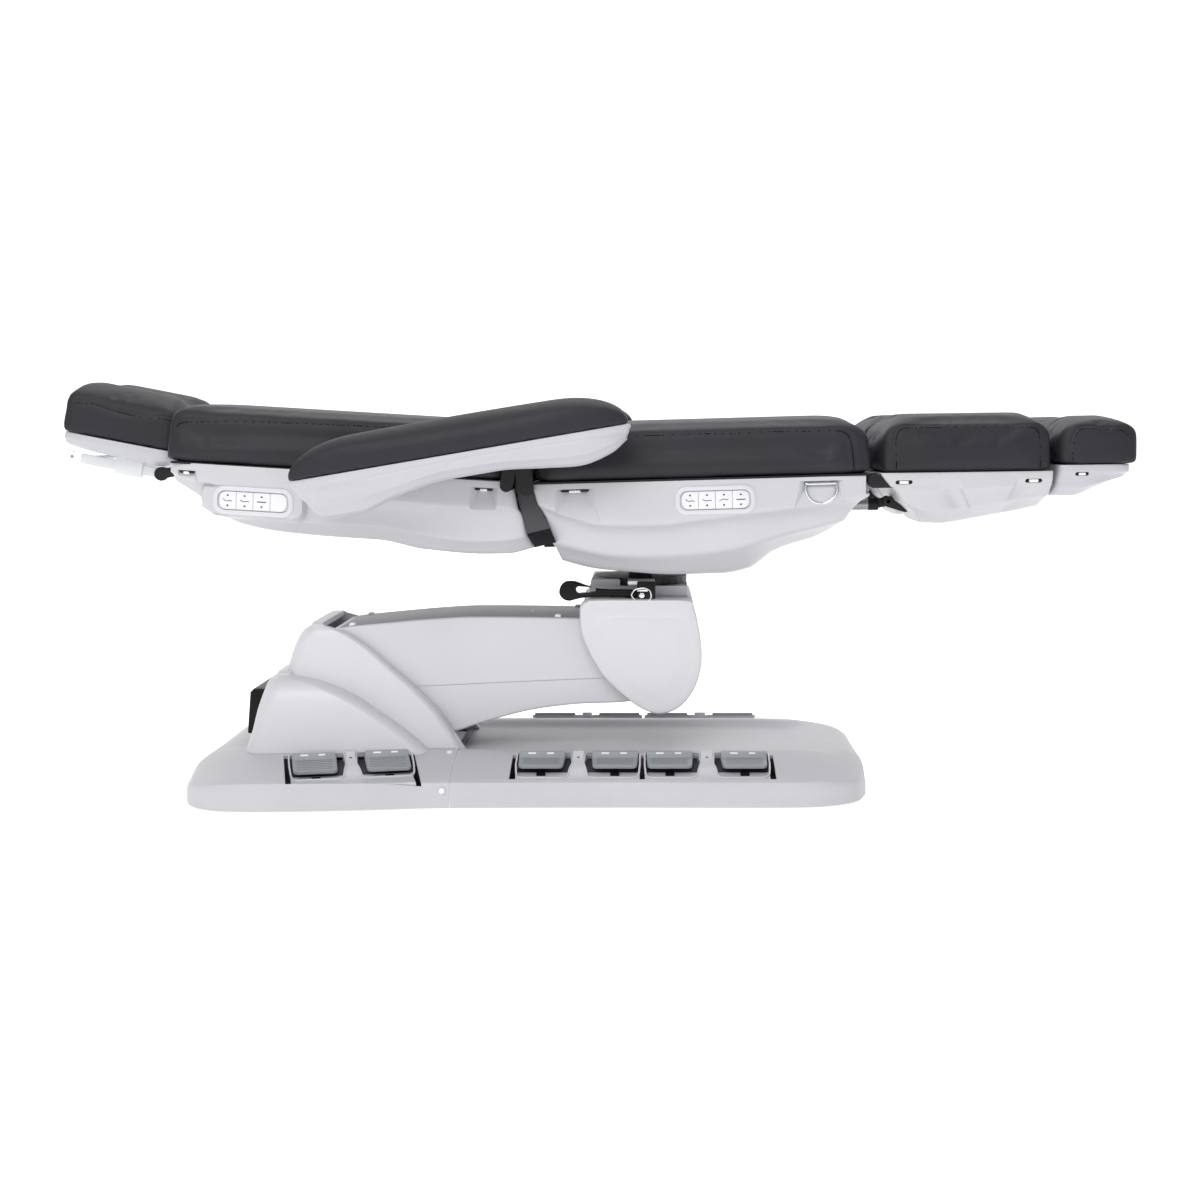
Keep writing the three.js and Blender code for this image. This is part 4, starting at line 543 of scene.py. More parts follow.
def tray_solid(rings, side, across):
    """Points and faces of a closed tray: the rings, and a grid over each end."""
    rows, count, _ = rings.shape
    points = [rings.reshape(-1, 3)]
    faces = []
    for i in range(rows - 1):
        for j in range(count):
            k = (j + 1) % count
            faces.append((i * count + j, i * count + k, (i + 1) * count + k, (i + 1) * count + j))
    total = rows * count
    for row in (0, rows - 1):
        base = row * count
        near = base + np.arange(side)
        far = base + 2 * side + across - 1 - np.arange(side)
        grid = np.zeros((side, across + 2), int)
        grid[:, 0], grid[:, -1] = near, far
        grid[-1, 1:-1] = base + side + np.arange(across)
        grid[0, 1:-1] = base + 2 * side + across + np.arange(across)[::-1]
        t = np.linspace(0, 1, across + 2)[1:-1]
        for level in range(1, side - 1):
            a, b = rings[row][level], rings[row][2 * side + across - 1 - level]
            points.append(a + (b - a) * t[:, None])
            grid[level, 1:-1] = total + np.arange(across)
            total += across
        for level in range(side - 1):
            for k in range(across + 1):
                faces.append((grid[level, k], grid[level, k + 1], grid[level + 1, k + 1], grid[level + 1, k]))
    return np.vstack(points), faces


def tray(name, spec, section, shift=(0, 0), inset=None, spacing=3.0, material=None):
    rings, side, across = tray_rings(spec, spacing, inset)
    return turned(*tray_solid(rings, side, across), section, shift, name, material)


def hollow_tray(name, spec, section, shift=(0, 0), inset=(14, 6, 8), cutters=(), material=MOULDING):
    inner = tray("cutter", spec, section, shift, inset, spacing=CORE_SPACING)
    shell = tray(name, spec, section, shift, material=material)
    return carve(shell, [inner, *cutters])


SCOOP_OUT = 6


def scoop(x, top, low, z, height, depth, side, section, round_end=False):
    """A cutter for a finger scoop: deep at its upper edge, and its floor runs out to the surface below."""
    rings = []
    for t in np.linspace(0, 1, 10):
        deep = depth * (1 - t)
        left = x[0] + (low[0] - x[0]) * t**1.4
        right = x[1] + (low[1] - x[1]) * t**1.4
        if round_end:
            pinch = (1 - math.sqrt(max(0.0, 1 - max(0.0, (t - 0.55) / 0.45) ** 2))) * (right - left) * 0.5
            left, right = left + pinch * 0.9, right - pinch * 0.9
        cheek = min(deep * top, (right - left) * 0.36)
        level = z - height * t
        face, floor = side * (TOP_HALF + SCOOP_OUT), side * (TOP_HALF - deep - 0.02)
        rings.append([
            (left - SCOOP_OUT * top, face, level), (right + SCOOP_OUT * top, face, level),
            (right - cheek, floor, level), (left + cheek, floor, level),
        ])
    return turned(*skin(rings), section)


HOOK = {"tall": 4.2, "deep": 9, "back": 2.5, "nylon": 0.42}


def hook(x, z, side, section, wide):
    """A slot under a shell's rim with a white nylon block in it; the slot's dark block is painted shade inside
    it.
    """
    face, short, low = side * (TOP_HALF - HOOK["back"]), wide * HOOK["nylon"], z - HOOK["tall"]
    root = face - side * HOOK["deep"]
    dark = block((x - wide, x + wide), (root, face - side * 0.6), (low, z), section, radius=BLOCK_BEVEL,
                 name="slot", material=DARK_TRIM_AND_SLOT_SHADE)
    white = block((x - short, x + short), (root, face + side * 0.3), (low - 1.2, z - 0.8), section,
                  radius=BLOCK_BEVEL, name="nylon", material=WHITE)
    return [dark, white]


# Seat shell

SEAT = {
    "rows": [
        [-0.009, 0.008, 0.22, 0.042, 0.599, 0.065, 0.824],
        [0.101, 0.101, 0.341, 0.118, 0.67, 0.164, 0.912],
        [0.22, 0.203, 0.429, 0.211, 0.742, 0.272, 0.956],
        [0.355, 0.355, 0.445, 0.353, 0.775, 0.405, 0.995],
        [0.507, 0.507, 0.401, 0.49, 0.758, 0.557, 1],
        [0.642, 0.633, 0.363, 0.613, 0.703, 0.642, 0.956],
        [0.743, 0.743, 0.33, 0.743, 0.588, 0.728, 0.769],
        [0.878, 0.878, 0.291, 0.87, 0.505, 0.853, 0.643],
        [1, 0.998, 0.225, 0.929, 0.462, 0.904, 0.555],
    ],
    "plan": [0.985, 1, 1, 1, 1, 1, 1, 1, 0.99],
    "length": 592, "depth": 182, "halves": [285, 285, 250, 176], "rim": -0.4, "corner": 9, "sag": 0,
}
TILT = (183.3, -129.5)
MOTOR_HALF = 20
KEYPAD = {"wide": 123.5, "tall": 33, "rim": 9, "radius": 20, "key_radius": 12, "proud": 2.2}
SEAT_KEYPAD = (318, -39.5)
BACK_KEYPAD = (-438, -63)
RING_X = 505
HOOK_X = 71


def keypad_pocket(centre, section):
    x, z = centre
    half = (KEYPAD["wide"] / 2 + 3, KEYPAD["tall"] / 2 + 3)
    return block((x - half[0], x + half[0]), (-TOP_HALF - 20, -TOP_HALF + 10), (z - half[1], z + half[1]),
                 section, radius=KEYPAD["key_radius"] + 2)


def seat_shell():
    cutters = [keypad_pocket(SEAT_KEYPAD, "seat")]
    trim = []
    for side in (-1, 1):
        cutters.append(scoop((36, 106), 1.2, (32, 116), -14, 62, 15, side, "seat"))
        cutters.append(scoop((467, 543), 1.1, (452, 556), -11, 56, 14, side, "seat"))
        trim += hook(HOOK_X, -15, side, "seat", 24)
        cutters.append(block((512, 612), (side * 115, side * 175), (-182, -28), "seat"))
        for y in (262, 40):
            cutters.append(block((562, 612), (side * (y - 6), side * (y + 20.4)), (-36, 20), "seat"))
    cutters.append(block((TILT[0] - 70, TILT[0] + 70), (-76, 76), (-202, -91), "seat", radius=14))
    cutters.append(block((-40, 80), (-MOTOR_HALF, MOTOR_HALF), (-118.3, 20), "seat"))
    shell = hollow_tray("seat_shell_skin", SEAT, "seat", cutters=cutters)
    attach(shell, "seat", ["seat_shell"])
    attach(joined("seat_hooks", trim), "seat")


# Back shell, with a flat pod that carries the keypad

BACK = {
    "rows": [
        [-1.008, -1.008, 0.144, -1.004, 0.245, -0.982, 0.317],
        [-0.932, -0.932, 0.216, -0.915, 0.432, -0.889, 0.604],
        [-0.821, -0.821, 0.288, -0.821, 0.604, -0.803, 0.791],
        [-0.684, -0.684, 0.331, -0.684, 0.669, -0.684, 0.863],
        [-0.547, -0.547, 0.345, -0.547, 0.705, -0.547, 0.885],
        [-0.393, -0.393, 0.345, -0.393, 0.691, -0.385, 0.892],
        [-0.256, -0.256, 0.36, -0.248, 0.763, -0.248, 0.978],
        [-0.12, -0.111, 0.374, -0.103, 0.806, -0.103, 1],
        [-0.017, 0, 0.36, 0.017, 0.763, 0.017, 0.971],
        [0.024, 0.044, 0.36, 0.077, 0.705, 0.092, 0.878],
    ],
    "plan": [0.965, 1, 1, 1, 1, 1, 1, 1, 1, 0.99],
    "length": 585, "depth": 139, "halves": [285, 285, 262, 226], "rim": -0.4, "corner": 10, "sag": 0,
}
POD = {"x": (-533, -347), "z": (-96, -30), "radius": 22, "edge": 4}


def step(value, low, high):
    t = np.clip((value - low) / (high - low), 0, 1)
    return t * t * (3 - 2 * t)


def inside_round(x, z, box_x, box_z, radius):
    """How far inside a rounded rectangle each place is."""
    centre = np.array([np.mean(box_x), np.mean(box_z)])
    half = np.array([np.ptp(box_x) / 2, np.ptp(box_z) / 2]) - radius
    dx = np.maximum(np.abs(x - centre[0]) - half[0], 0)
    dz = np.maximum(np.abs(z - centre[1]) - half[1], 0)
    return radius - np.hypot(dx, dz)


def pod_relief(x, half, z):
    mask = step(inside_round(x, z, POD["x"], POD["z"], POD["radius"]), 0, POD["edge"])
    return np.where(z > -40, half, half + (TOP_HALF - half) * mask)


def back_shell():
    cutters = [keypad_pocket(BACK_KEYPAD, "back")]
    trim = []
    for side in (-1, 1):
        cutters.append(scoop((-577, -540), 0.6, (-578, -518), -15, 62, 13, side, "back"))
        cutters.append(scoop((-58, -10), 0.9, (-60, -12), -15, 58, 14, side, "back", round_end=True))
        trim += hook(-558, -16, side, "back", 12)
        trim += hook(-35, -16, side, "back", 15)
        cutters.append(block((-605, -565), (side * 112, side * 118.8), (-40, 20), "back"))
    lug = (3.8, -90.7)
    cutters.append(block((lug[0], lug[0] + 100), (-MOTOR_HALF, MOTOR_HALF), (lug[1] - 20, lug[1] + 60),
                         "back"))
    cutters.append(block((-0.8, 52), (-303, 303), (-16.8, 20), "back"))
    spec = dict(BACK, relief=pod_relief, parts=(12, 26, 12))
    shell = hollow_tray("back_shell_skin", spec, "back", cutters=cutters)
    attach(shell, "back", ["back_shell"])
    attach(joined("back_hooks", trim), "back")


# Keypads: a raised lip round four keys, each with plain marks

KEY_STEP = 29.8
KEY_SIZE = (29.3, 31)
KEY_PROUD = 1.5
BED_MARK = [(-8, 2.6), (-3.4, -1.2), (1.4, -1.4), (3.6, 0.2), (8, -1.4)]


def corners_of(x, z, half_x, half_z):
    """The corners of a rectangle, from its middle and its half sizes."""
    x0, x1, z0, z1 = x - half_x, x + half_x, z - half_z, z + half_z
    return [(x0, z0), (x1, z0), (x1, z1), (x0, z1)]


def keypad_rim(centre, section, name, body):
    x, z = centre
    rings = []
    inner = (KEYPAD["wide"] / 2, KEYPAD["tall"] / 2)
    levels = [(9, -2), (8.6, 1.2), (6.5, 2.6), (3.2, 3.0), (1.0, 2.2), (0.3, 0.4), (0.3, -7)]
    for out, proud in levels:
        hx, hz = inner[0] + out, inner[1] + out
        radius = KEYPAD["key_radius"] + out * 0.8
        outline = rounded(corners_of(x, z, hx, hz), radius, 10)
        level = np.full(len(outline), -TOP_HALF - proud)
        rings.append(np.column_stack([outline[:, 0], level, outline[:, 1]]))
    points, faces = skin(rings, caps=False)
    count = len(rings[0])
    faces.append(tuple(range((len(rings) - 1) * count, len(rings) * count)))
    faces.append(tuple(range(count - 1, -1, -1)))
    rim = turned(points, faces, section, name=name, material=TRAY)
    attach(rim, body)


def key_cap(x, z, radii, section, marks, name, body, node):
    rings = []
    for y, inset in [(5, 0), (-0.6, 0), (-1.1, 0.35), (-KEY_PROUD, 1.2)]:
        corners = corners_of(x, z, KEY_SIZE[0] / 2 - inset, KEY_SIZE[1] / 2 - inset)
        outline = rounded(corners, [max(r - inset, 0.6) for r in radii], 6)
        rings.append(np.column_stack([outline[:, 0], np.full(len(outline), -TOP_HALF + y), outline[:, 1]]))
    cap = turned(*skin(rings), section, name="cap", material=KEY)
    pieces = [cap]
    face = -TOP_HALF - KEY_PROUD
    for shape in marks:
        line = np.array(shape, float) + (x, z)
        pieces.append(slab(line, face - 0.12, face + 0.3, section, name="mark", material=INK))
    attach(joined(name, pieces), body, [node])


def disc_mark(x, z):
    return [(x + 1.7 * math.cos(a), z + 1.7 * math.sin(a)) for a in np.linspace(0, 2 * math.pi, 10, False)]


def arrow_mark(x, z, up):
    return [(x - 2.4, z - 1.5 * up), (x + 2.4, z - 1.5 * up), (x, z + 2.1 * up)]


def line_mark(points, thick=1.2):
    points = np.array(points, float)
    ahead = np.gradient(points, axis=0)
    ahead /= np.linalg.norm(ahead, axis=1)[:, None]
    out = np.column_stack([-ahead[:, 1], ahead[:, 0]]) * thick / 2
    return [*(points + out), *(points - out)[::-1]]


def keys(centre, section, prefix, kinds):
    keypad_rim(centre, section, f"{prefix}_keypad_rim", prefix)
    for i, kind in enumerate(kinds):
        x = centre[0] + (i - 1.5) * KEY_STEP
        left = 11.5 if i == 0 else 0.7
        right = 11.5 if i == 3 else 0.7
        bend = np.array(BED_MARK) * (1, [1, 0.7, -0.9, 0.5][i])
        marks = {
            "bed": [disc_mark(0, 9), disc_mark(0, -9), line_mark(even(bend, 9))],
            "level": [arrow_mark(0, 9, 1), arrow_mark(0, -9, -1), line_mark([(-8, 0), (8, 0)], 1.7)],
            "plain": [],
        }[kind]
        key_cap(x, centre[1], [left, right, right, left], section, marks, f"{prefix}_key_cap_{i + 1}",
                f"{prefix}_key_{i + 1}_body", f"{prefix}_key_{i + 1}")


# Base cover: a long moulding with a crest each side, wells for the pedals and a split line across

# Rows along the base: the place as a share of its length, and shares of its half width, wall and crest
BASE = {"x0": -738, "length": 1243, "half": 308, "rim": 3, "wall": 50, "crest": 80, "crest_y": 160,
        "trough": 66, "trough_y": 122, "edge": 12}
BASE_ROWS = [
    [0, 0.72, 0.5, 0.6], [0.008, 0.86, 0.7, 0.74], [0.03, 1.01, 0.92, 0.9], [0.075, 1.09, 1.06, 1],
    [0.145, 1.1, 1.1, 1.02], [0.27, 1.06, 1.06, 1.01], [0.39, 1, 1, 1], [0.62, 0.99, 1, 1],
    [0.835, 0.995, 1, 1], [0.905, 0.985, 1, 0.97], [0.952, 0.935, 0.95, 0.89], [0.984, 0.83, 0.84, 0.78],
    [1, 0.66, 0.62, 0.62],
]
SHOULDER = {"y": 201, "z": 75.5, "slope": 16.5}


def base_rings(inset, count):
    rows = np.array(BASE_ROWS)
    keys = np.concatenate([[0], np.cumsum(np.hypot(np.diff(rows[:, 0]) * 4, np.diff(rows[:, 1])))])
    places = np.linspace(0, keys[-1], count)
    table = smooth_table(keys, rows, places)
    squeeze = 1 - 2 * inset / BASE["length"]
    rings = []
    for along, wide, tall, high in table:
        x = BASE["x0"] + BASE["length"] * (0.5 + (along - 0.5) * squeeze)
        half = BASE["half"] * wide - inset
        crest_y = min(BASE["crest_y"], half - BASE["crest_y"] / 4)
        trough_y = crest_y * BASE["trough_y"] / BASE["crest_y"]
        wall = BASE["wall"] * tall - inset
        foot = BASE["rim"] - (20 if inset else 0)
        edge = BASE["edge"]
        crest = BASE["crest"] * high - inset
        hollow = (BASE["crest"] - BASE["trough"]) * step(x, -700, -560) * (1 - step(x, 370, 450))
        deck = crest - hollow + 5 * step(x, 430, 500)
        corners = [(half - 1, foot), (half, foot + 2), (half - 0.5, wall - edge)]
        for a in (1.1, 0.8, 0.45, 0.1):
            corners.append((half - edge * (1 - math.sin(a)), wall - edge * (1 - math.cos(a))))
        for t in np.linspace(0, 1, 14)[1:]:
            bulge = 0.1 * math.sin(math.pi * t)
            corners.append((half - edge + (crest_y - half + edge) * t, wall + (crest - wall) * (t + bulge)))
        for t in np.linspace(0, 1, 8)[1:]:
            corners.append((crest_y + (trough_y - crest_y) * t, crest + (deck - crest) * step(t, 0, 1)))
        right = softened(np.array(corners, float), 2)
        inner = [(trough_y * (1 - t), deck - 1.5 * t) for t in np.linspace(0, 1, 7)[1:]]
        half_ring = np.vstack([right, inner])
        ring = [(x, y, z) for y, z in half_ring] + [(x, -y, z) for y, z in half_ring[-2::-1]]
        rings.append(ring)
    return rings


REAR = {"lean": 0.24, "turn": 0.09, "middle": -434, "shift": -9, "out": 1.5}


def on_shoulder(points, far, rear=False):
    """Points of a deck's shoulder, x along the table, y out and down the slope, z out of it, in the frame."""
    p = np.array(points, float).reshape(-1, 3)
    if rear:
        out = p[:, 1] + REAR["out"] - REAR["turn"] * (p[:, 0] - REAR["middle"])
        p = np.column_stack([p[:, 0] + REAR["shift"] + REAR["lean"] * p[:, 1], out, p[:, 2]])
    c, s = math.cos(math.radians(SHOULDER["slope"])), math.sin(math.radians(SHOULDER["slope"]))
    out = SHOULDER["y"] + p[:, 1] * c + p[:, 2] * s
    up = SHOULDER["z"] - p[:, 1] * s + p[:, 2] * c
    return np.column_stack([p[:, 0], out if far else -out, up])


# Each pad: its length, its width at the hinge and at its free end, its thickness, and how far it stands up
# at that end
PADS = {
    "front": {"length": 54, "wide": 86, "end": 80, "thick": 7.5, "rise": 8},
    "rear": {"length": 62, "wide": 81, "end": 79, "thick": 7.5, "rise": 5},
}
PEDALS = {"front_1": -90, "front_2": 44, "front_3": 144, "front_4": 280, "rear_1": -500, "rear_2": -368.6}
WELLS = [("front_1", "front_2"), ("front_3", "front_4"), ("rear_1", "rear_2")]
# The tray's cross-section from the hinge side out: over the pads' hinges, down the slope to a level apron
TRAY_TOP = [(-4, 2), (0, 2.4), (44, 2.0), (52, 0.6), (58, -3), (64, -7.5), (70, -9.2), (80, -7.2)]
APRON = {"front": (92, -3.6), "rear": (120, 4.5)}


# How far a pad's free end goes down when it is pressed, as a share of its length
PRESS = 0.105
TRAY_MARGIN = 2.5
CUT_MARGIN = 11.5


def kind_of(place):
    """A pedal's row: front or rear."""
    return place.split("_")[0]


def well_span(pair, margin):
    """The ends of a tray or of the hole for it along x, this far beyond its pedals."""
    half = PADS["front"]["wide"] / 2 + margin
    return PEDALS[pair[0]] - half, PEDALS[pair[1]] + half - (4 if kind_of(pair[0]) == "rear" else 0)


def shoulder_prism(outline, levels, far, name="cutter", material=None, rear=False):
    rings = [on_shoulder([(x, y, z) for x, y in outline], far, rear) for z in levels]
    return new_object(name, *skin(rings), material)


def shoulder_profile(profile, x, far, rear, name="cutter", material=None, bevel=0):
    """A piece with a cross-section of [y, z] points on the shoulder, along x."""
    profile = np.array(profile, float)
    inward = normals_of(profile)
    levels = [(x[0], 0), (x[1], 0)]
    if bevel:
        part = bevel * 0.3
        levels = [(x[0], bevel), (x[0] + part, part), (x[0] + bevel, 0)]
        levels += [(x[1] - bevel, 0), (x[1] - part, part), (x[1], bevel)]
    rings = []
    for place, inset in levels:
        rings.append(on_shoulder([(place, y, z) for y, z in profile + inward * inset], far, rear))
    return new_object(name, *skin(rings), material)


def base_cover():
    body = new_object("base_cover_skin", *skin(base_rings(0, 300)), SKIRT)
    inner = new_object("cutter", *skin(base_rings(6, 120)))
    split = slab([(-250.2, -5), (-248, -5), (-248, 120), (-250.2, 120)], -420, 420)
    hollow = new_object("cutter", *skin(base_rings(2.6, 200)))
    carve(split, [hollow])
    cutters = [inner]
    for pair in WELLS:
        kind = kind_of(pair[0])
        low, rise = APRON[kind]
        section_ = [(-5.5, -19), (low + 2.6, rise - 11), (low + 2.6, 60), (-5.5, 60)]
        for far in (False, True):
            cutters.append(shoulder_profile(section_, well_span(pair, CUT_MARGIN), far, kind == "rear"))
    cutters.append(block((-575, -262), (-118, 118), (35, 104)))
    carve(body, cutters)
    carve(body, [split])
    attach(body, "base", ["base_cover"])


def pedal_trays():
    for index, pair in enumerate(WELLS):
        kind = kind_of(pair[0])
        rear = kind == "rear"
        pad, (low, rise) = PADS[kind], APRON[kind]
        end = pad["length"]
        stop = pad["rise"] - pad["thick"] - PRESS * end - 0.8
        top = [*TRAY_TOP, (low - 3, rise), (low - 0.8, rise - 1), (low, rise - 3.4)]
        section_ = [*top, (low, rise - 10), (60, -18), (-4, -18)]
        for far in (False, True):
            span = well_span(pair, TRAY_MARGIN)
            tray_piece = shoulder_profile(section_, span, far, rear, "tray", TRAY, 1.6)
            holes, extras = [], []
            for place, inner in zip(pair, (1, -1)):
                x = PEDALS[place]
                outline = [(-44, -9), (53, -9), (55, 36), (47, 68), (-42, 68), (-44, 40)]
                hole = rounded([(x + px * inner, y) for px, y in outline[::inner]], 10, 6)
                holes.append(shoulder_prism(hole, (-13, 30), far, rear=rear))
                line = even(np.vstack([hole, hole[:1]]), 121)[:-1]
                level = np.interp(line[:, 1], [p[0] for p in TRAY_TOP], [p[1] for p in TRAY_TOP])
                rim = []
                for out, z in [(0, -5), (0, 0.9), (-0.8, 1.7), (-2.2, 1.7), (-3.2, 0.6), (-3.4, -1.5)]:
                    ring = line + normals_of(line) * out
                    points = np.column_stack([ring[:, 0], np.maximum(ring[:, 1], -3.5), level + z])
                    rim.append(on_shoulder(points, far, rear))
                extras.append(new_object("lip", *skin(rim, caps=False), TRAY))
                ends = sorted((x - 43.5 * inner, x + 53.5 * inner))
                # A dark floor below each pad: painted shade under the pad.
                floor = [(-8, -13.4), (end - 12, -13.4), (end - 12, -12.2), (-8, -12.2)]
                extras.append(shoulder_profile(floor, ends, far, rear, "floor", GAP_PANEL_AND_PAD_SHADE))
                switch = [(end - 4, -13.2), (end + 1.5, -13.2), (end + 1.5, stop), (end - 4, stop)]
                extras.append(shoulder_profile(switch, (x - 8, x + 8), far, rear, "switch", BLACK, 0.8))
            middle = (PEDALS[pair[0]] + PEDALS[pair[1]]) / 2
            reach = (PEDALS[pair[1]] - PEDALS[pair[0]]) / 2 - 57
            web = [(-4, 1), (-3.4, 8.4), (1, 9.6), (8, 7), (20, 2.2), (20, 0)]
            ends = (middle - reach, middle + reach)
            extras.append(shoulder_profile(web, ends, far, rear, "web", TRAY, 1.5))
            dot = rounded(corners_of(middle, 15.25, 2.4, 1.25), 1)
            extras.append(shoulder_prism(dot, (0, 4.6), far, "dot", DARK_TRIM_AND_SLOT_SHADE, rear))
            carve(tray_piece, holes)
            side = "far" if far else "near"
            whole = joined(f"pedal_tray_{side}_{index + 1}", [tray_piece, *extras])
            attach(whole, "base")


def pad_point(x, pad, points, far, rear):
    """Points on a pad that stands up from the shoulder, with x from its middle."""
    steep = pad["rise"] / pad["length"]
    return on_shoulder([(x + px, py, pz + steep * max(py, 0)) for px, py, pz in points], far, rear)


def pedals():
    for place, x in PEDALS.items():
        kind = kind_of(place)
        rear, pad = kind == "rear", PADS[kind]
        half, end, length, thick = pad["wide"] / 2, pad["end"] / 2, pad["length"], pad["thick"]
        for far in (False, True):
            side = "far" if far else "near"
            outline = rounded([(-half, 0), (half, 0), (end, length), (-end, length)], [3, 3, 9, 9], 6)
            levels = [(-thick, 1.4), (-thick + 1.4, 0), (-1.6, 0), (-0.5, 0.5), (0, 1.7)]
            rings = []
            for z, inset in levels:
                line = outline + normals_of(outline) * inset
                rings.append(pad_point(x, pad, [(px, py, z) for px, py in line], far, rear))
            plate = new_object("plate", *skin(rings), PEDAL)
            grooves = []
            for k in range(6):
                y = 14 + (length - 24) / 5 * k
                wide = end - 7
                line = rounded([(-wide, y), (wide, y), (wide, y + 1.9), (-wide, y + 1.9)], 0.7, 2)
                rings = [pad_point(x, pad, [(px, py, z) for px, py in line], far, rear) for z in (-1.1, 4)]
                grooves.append(new_object("cutter", *skin(rings)))
            carve(plate, grooves)
            ridge = [(-1, -6), (-2, 5), (0, 8.6), (3.5, 8.8), (8, 5), (13, 1.9), (14, -1), (12, -5)]
            ends = (x - half + 1, x + half - 1)
            parts = [plate, shoulder_profile(ridge, ends, far, rear, "ridge", PEDAL, 1.5)]
            for offset, wide in ((-half * 0.42, 7), (half * 0.36, 6)):
                slot = [(4.4, 8.3), (6.8, 6.2), (7.1, 6.6), (4.7, 8.7)]
                ends = (x + offset - wide, x + offset + wide)
                parts.append(shoulder_profile(slot, ends, far, rear, "slot", WHITE))
            attach(joined(f"pedal_pad_{side}_{place}", parts), f"pedal_{side}_{place}_body",
                   [f"pedal_{side}_{place}"])


def base_plugs():
    """White caps over the screws beside the split line."""
    caps = []
    for side in (-1, 1):
        for x, y, z, tilt in ((-262.5, 184, 78.4, 0.2), (-262, 310, 33, 1.45)):
            ring = []
            for radius, rise in ((5.6, -2), (5.6, 0.6), (4.9, 1.5), (3, 2), (0.4, 2.2)):
                for a in np.linspace(0, 2 * math.pi, 20, endpoint=False):
                    u, v = radius * math.cos(a), radius * math.sin(a)
                    out = v * math.cos(tilt) + rise * math.sin(tilt)
                    up = -v * math.sin(tilt) + rise * math.cos(tilt)
                    ring.append((x + u, side * (y + out), z + up))
            rings = np.array(ring).reshape(5, 20, 3)
            caps.append(new_object("cap", *skin(rings), WHITE))
    attach(joined("screw_caps", caps), "base")


# Hood

# Rows up the hood: the height, the rear and front edges and the half width, each as a share
HOOD = {"x0": -650, "length": 412, "z0": 66, "height": 240, "half": 197, "slot": 110, "slot_x": -508}
FIN_ROWS = [
    [0, 0.12, 1, 0.79], [0.31, 0.136, 0.879, 0.752], [0.5, 0.155, 0.774, 0.72], [0.67, 0.182, 0.66, 0.68],
    [0.845, 0.214, 0.541, 0.64], [0.955, 0.25, 0.437, 0.61], [1, 0.29, 0.364, 0.57],
]
HUMP_ROWS = [
    [0, 0.005, 0.874, 1], [0.21, 0.046, 0.728, 0.985], [0.36, 0.068, 0.604, 0.97],
    [0.49, 0.092, 0.481, 0.936], [0.588, 0.114, 0.328, 0.85], [0.625, 0.146, 0.218, 0.74],
]


def leaf_rings(rows, inset, levels, radii):
    """Level rings of the hood: rounded rectangles, with their own radius at the rear and at the front."""
    rows = np.array(rows)
    keys = np.concatenate([[0], np.cumsum(np.hypot(np.diff(rows[:, 0]), np.diff(rows[:, 2])))])
    table = smooth_table(keys, rows, np.linspace(0, keys[-1], levels))
    rear, front = [max(r - inset, 2) for r in radii]
    rings = []
    for i, (up, back, ahead, wide) in enumerate(table):
        x0 = HOOD["x0"] + back * HOOD["length"] + inset
        x1 = HOOD["x0"] + ahead * HOOD["length"] - inset
        half = HOOD["half"] * wide - inset
        drop = 20 if inset and i == 0 else 0
        crown = inset if i == levels - 1 else 0
        corners = corners_of((x0 + x1) / 2, 0, (x1 - x0) / 2, half)
        outline = rounded(corners, [rear, front, front, rear], 9)
        z = HOOD["z0"] + up * HOOD["height"] - drop - crown
        rings.append(np.column_stack([outline, np.full(len(outline), z)]))
    return rings


def round_top(rings, radius):
    """Adds rings that round a lofted top over."""
    last = rings[-1]
    centre = last.mean(0)
    for a in np.linspace(0, math.pi / 2, 6)[1:]:
        out = last - centre
        size = np.linalg.norm(out[:, :2], axis=1)[:, None]
        ring = centre + out * (1 - radius * (1 - math.cos(a)) / size)
        ring[:, 2] = last[:, 2] + radius * 0.45 * math.sin(a)
        rings.append(ring)
    return rings


def hood_cover():
    fin_radii, hump_radii = (30, 12), (34, 26)
    fin_rings = round_top(leaf_rings(FIN_ROWS, 0, 60, fin_radii), 9)
    hump_rings = round_top(leaf_rings(HUMP_ROWS, 0, 50, hump_radii), 14)
    fin = new_object("hood_cover_skin", *skin(fin_rings), HOOD_PAINT)
    hump = new_object("cutter", *skin(hump_rings))
    carve(fin, [hump], "UNION")
    core = new_object("cutter", *skin(leaf_rings(FIN_ROWS, 6, 24, fin_radii)))
    rear = new_object("cutter", *skin(leaf_rings(HUMP_ROWS, 6, 24, hump_radii)))
    carve(core, [rear], "UNION")
    carve(core, [block((-800, 0), (-112, 112), (0, 400))], "INTERSECT")
    slot = block((HOOD["slot_x"], -200), (-HOOD["slot"], HOOD["slot"]), (40, 340))
    window = block((-676, -602), (-104.6, 104.6), (97.5, 184.5), radius=6)
    below = new_object("cutter", *skin(base_rings(-0.4, 160)))
    carve(fin, [core, slot, window, below])
    attach(fin, "base", ["hood_cover"])


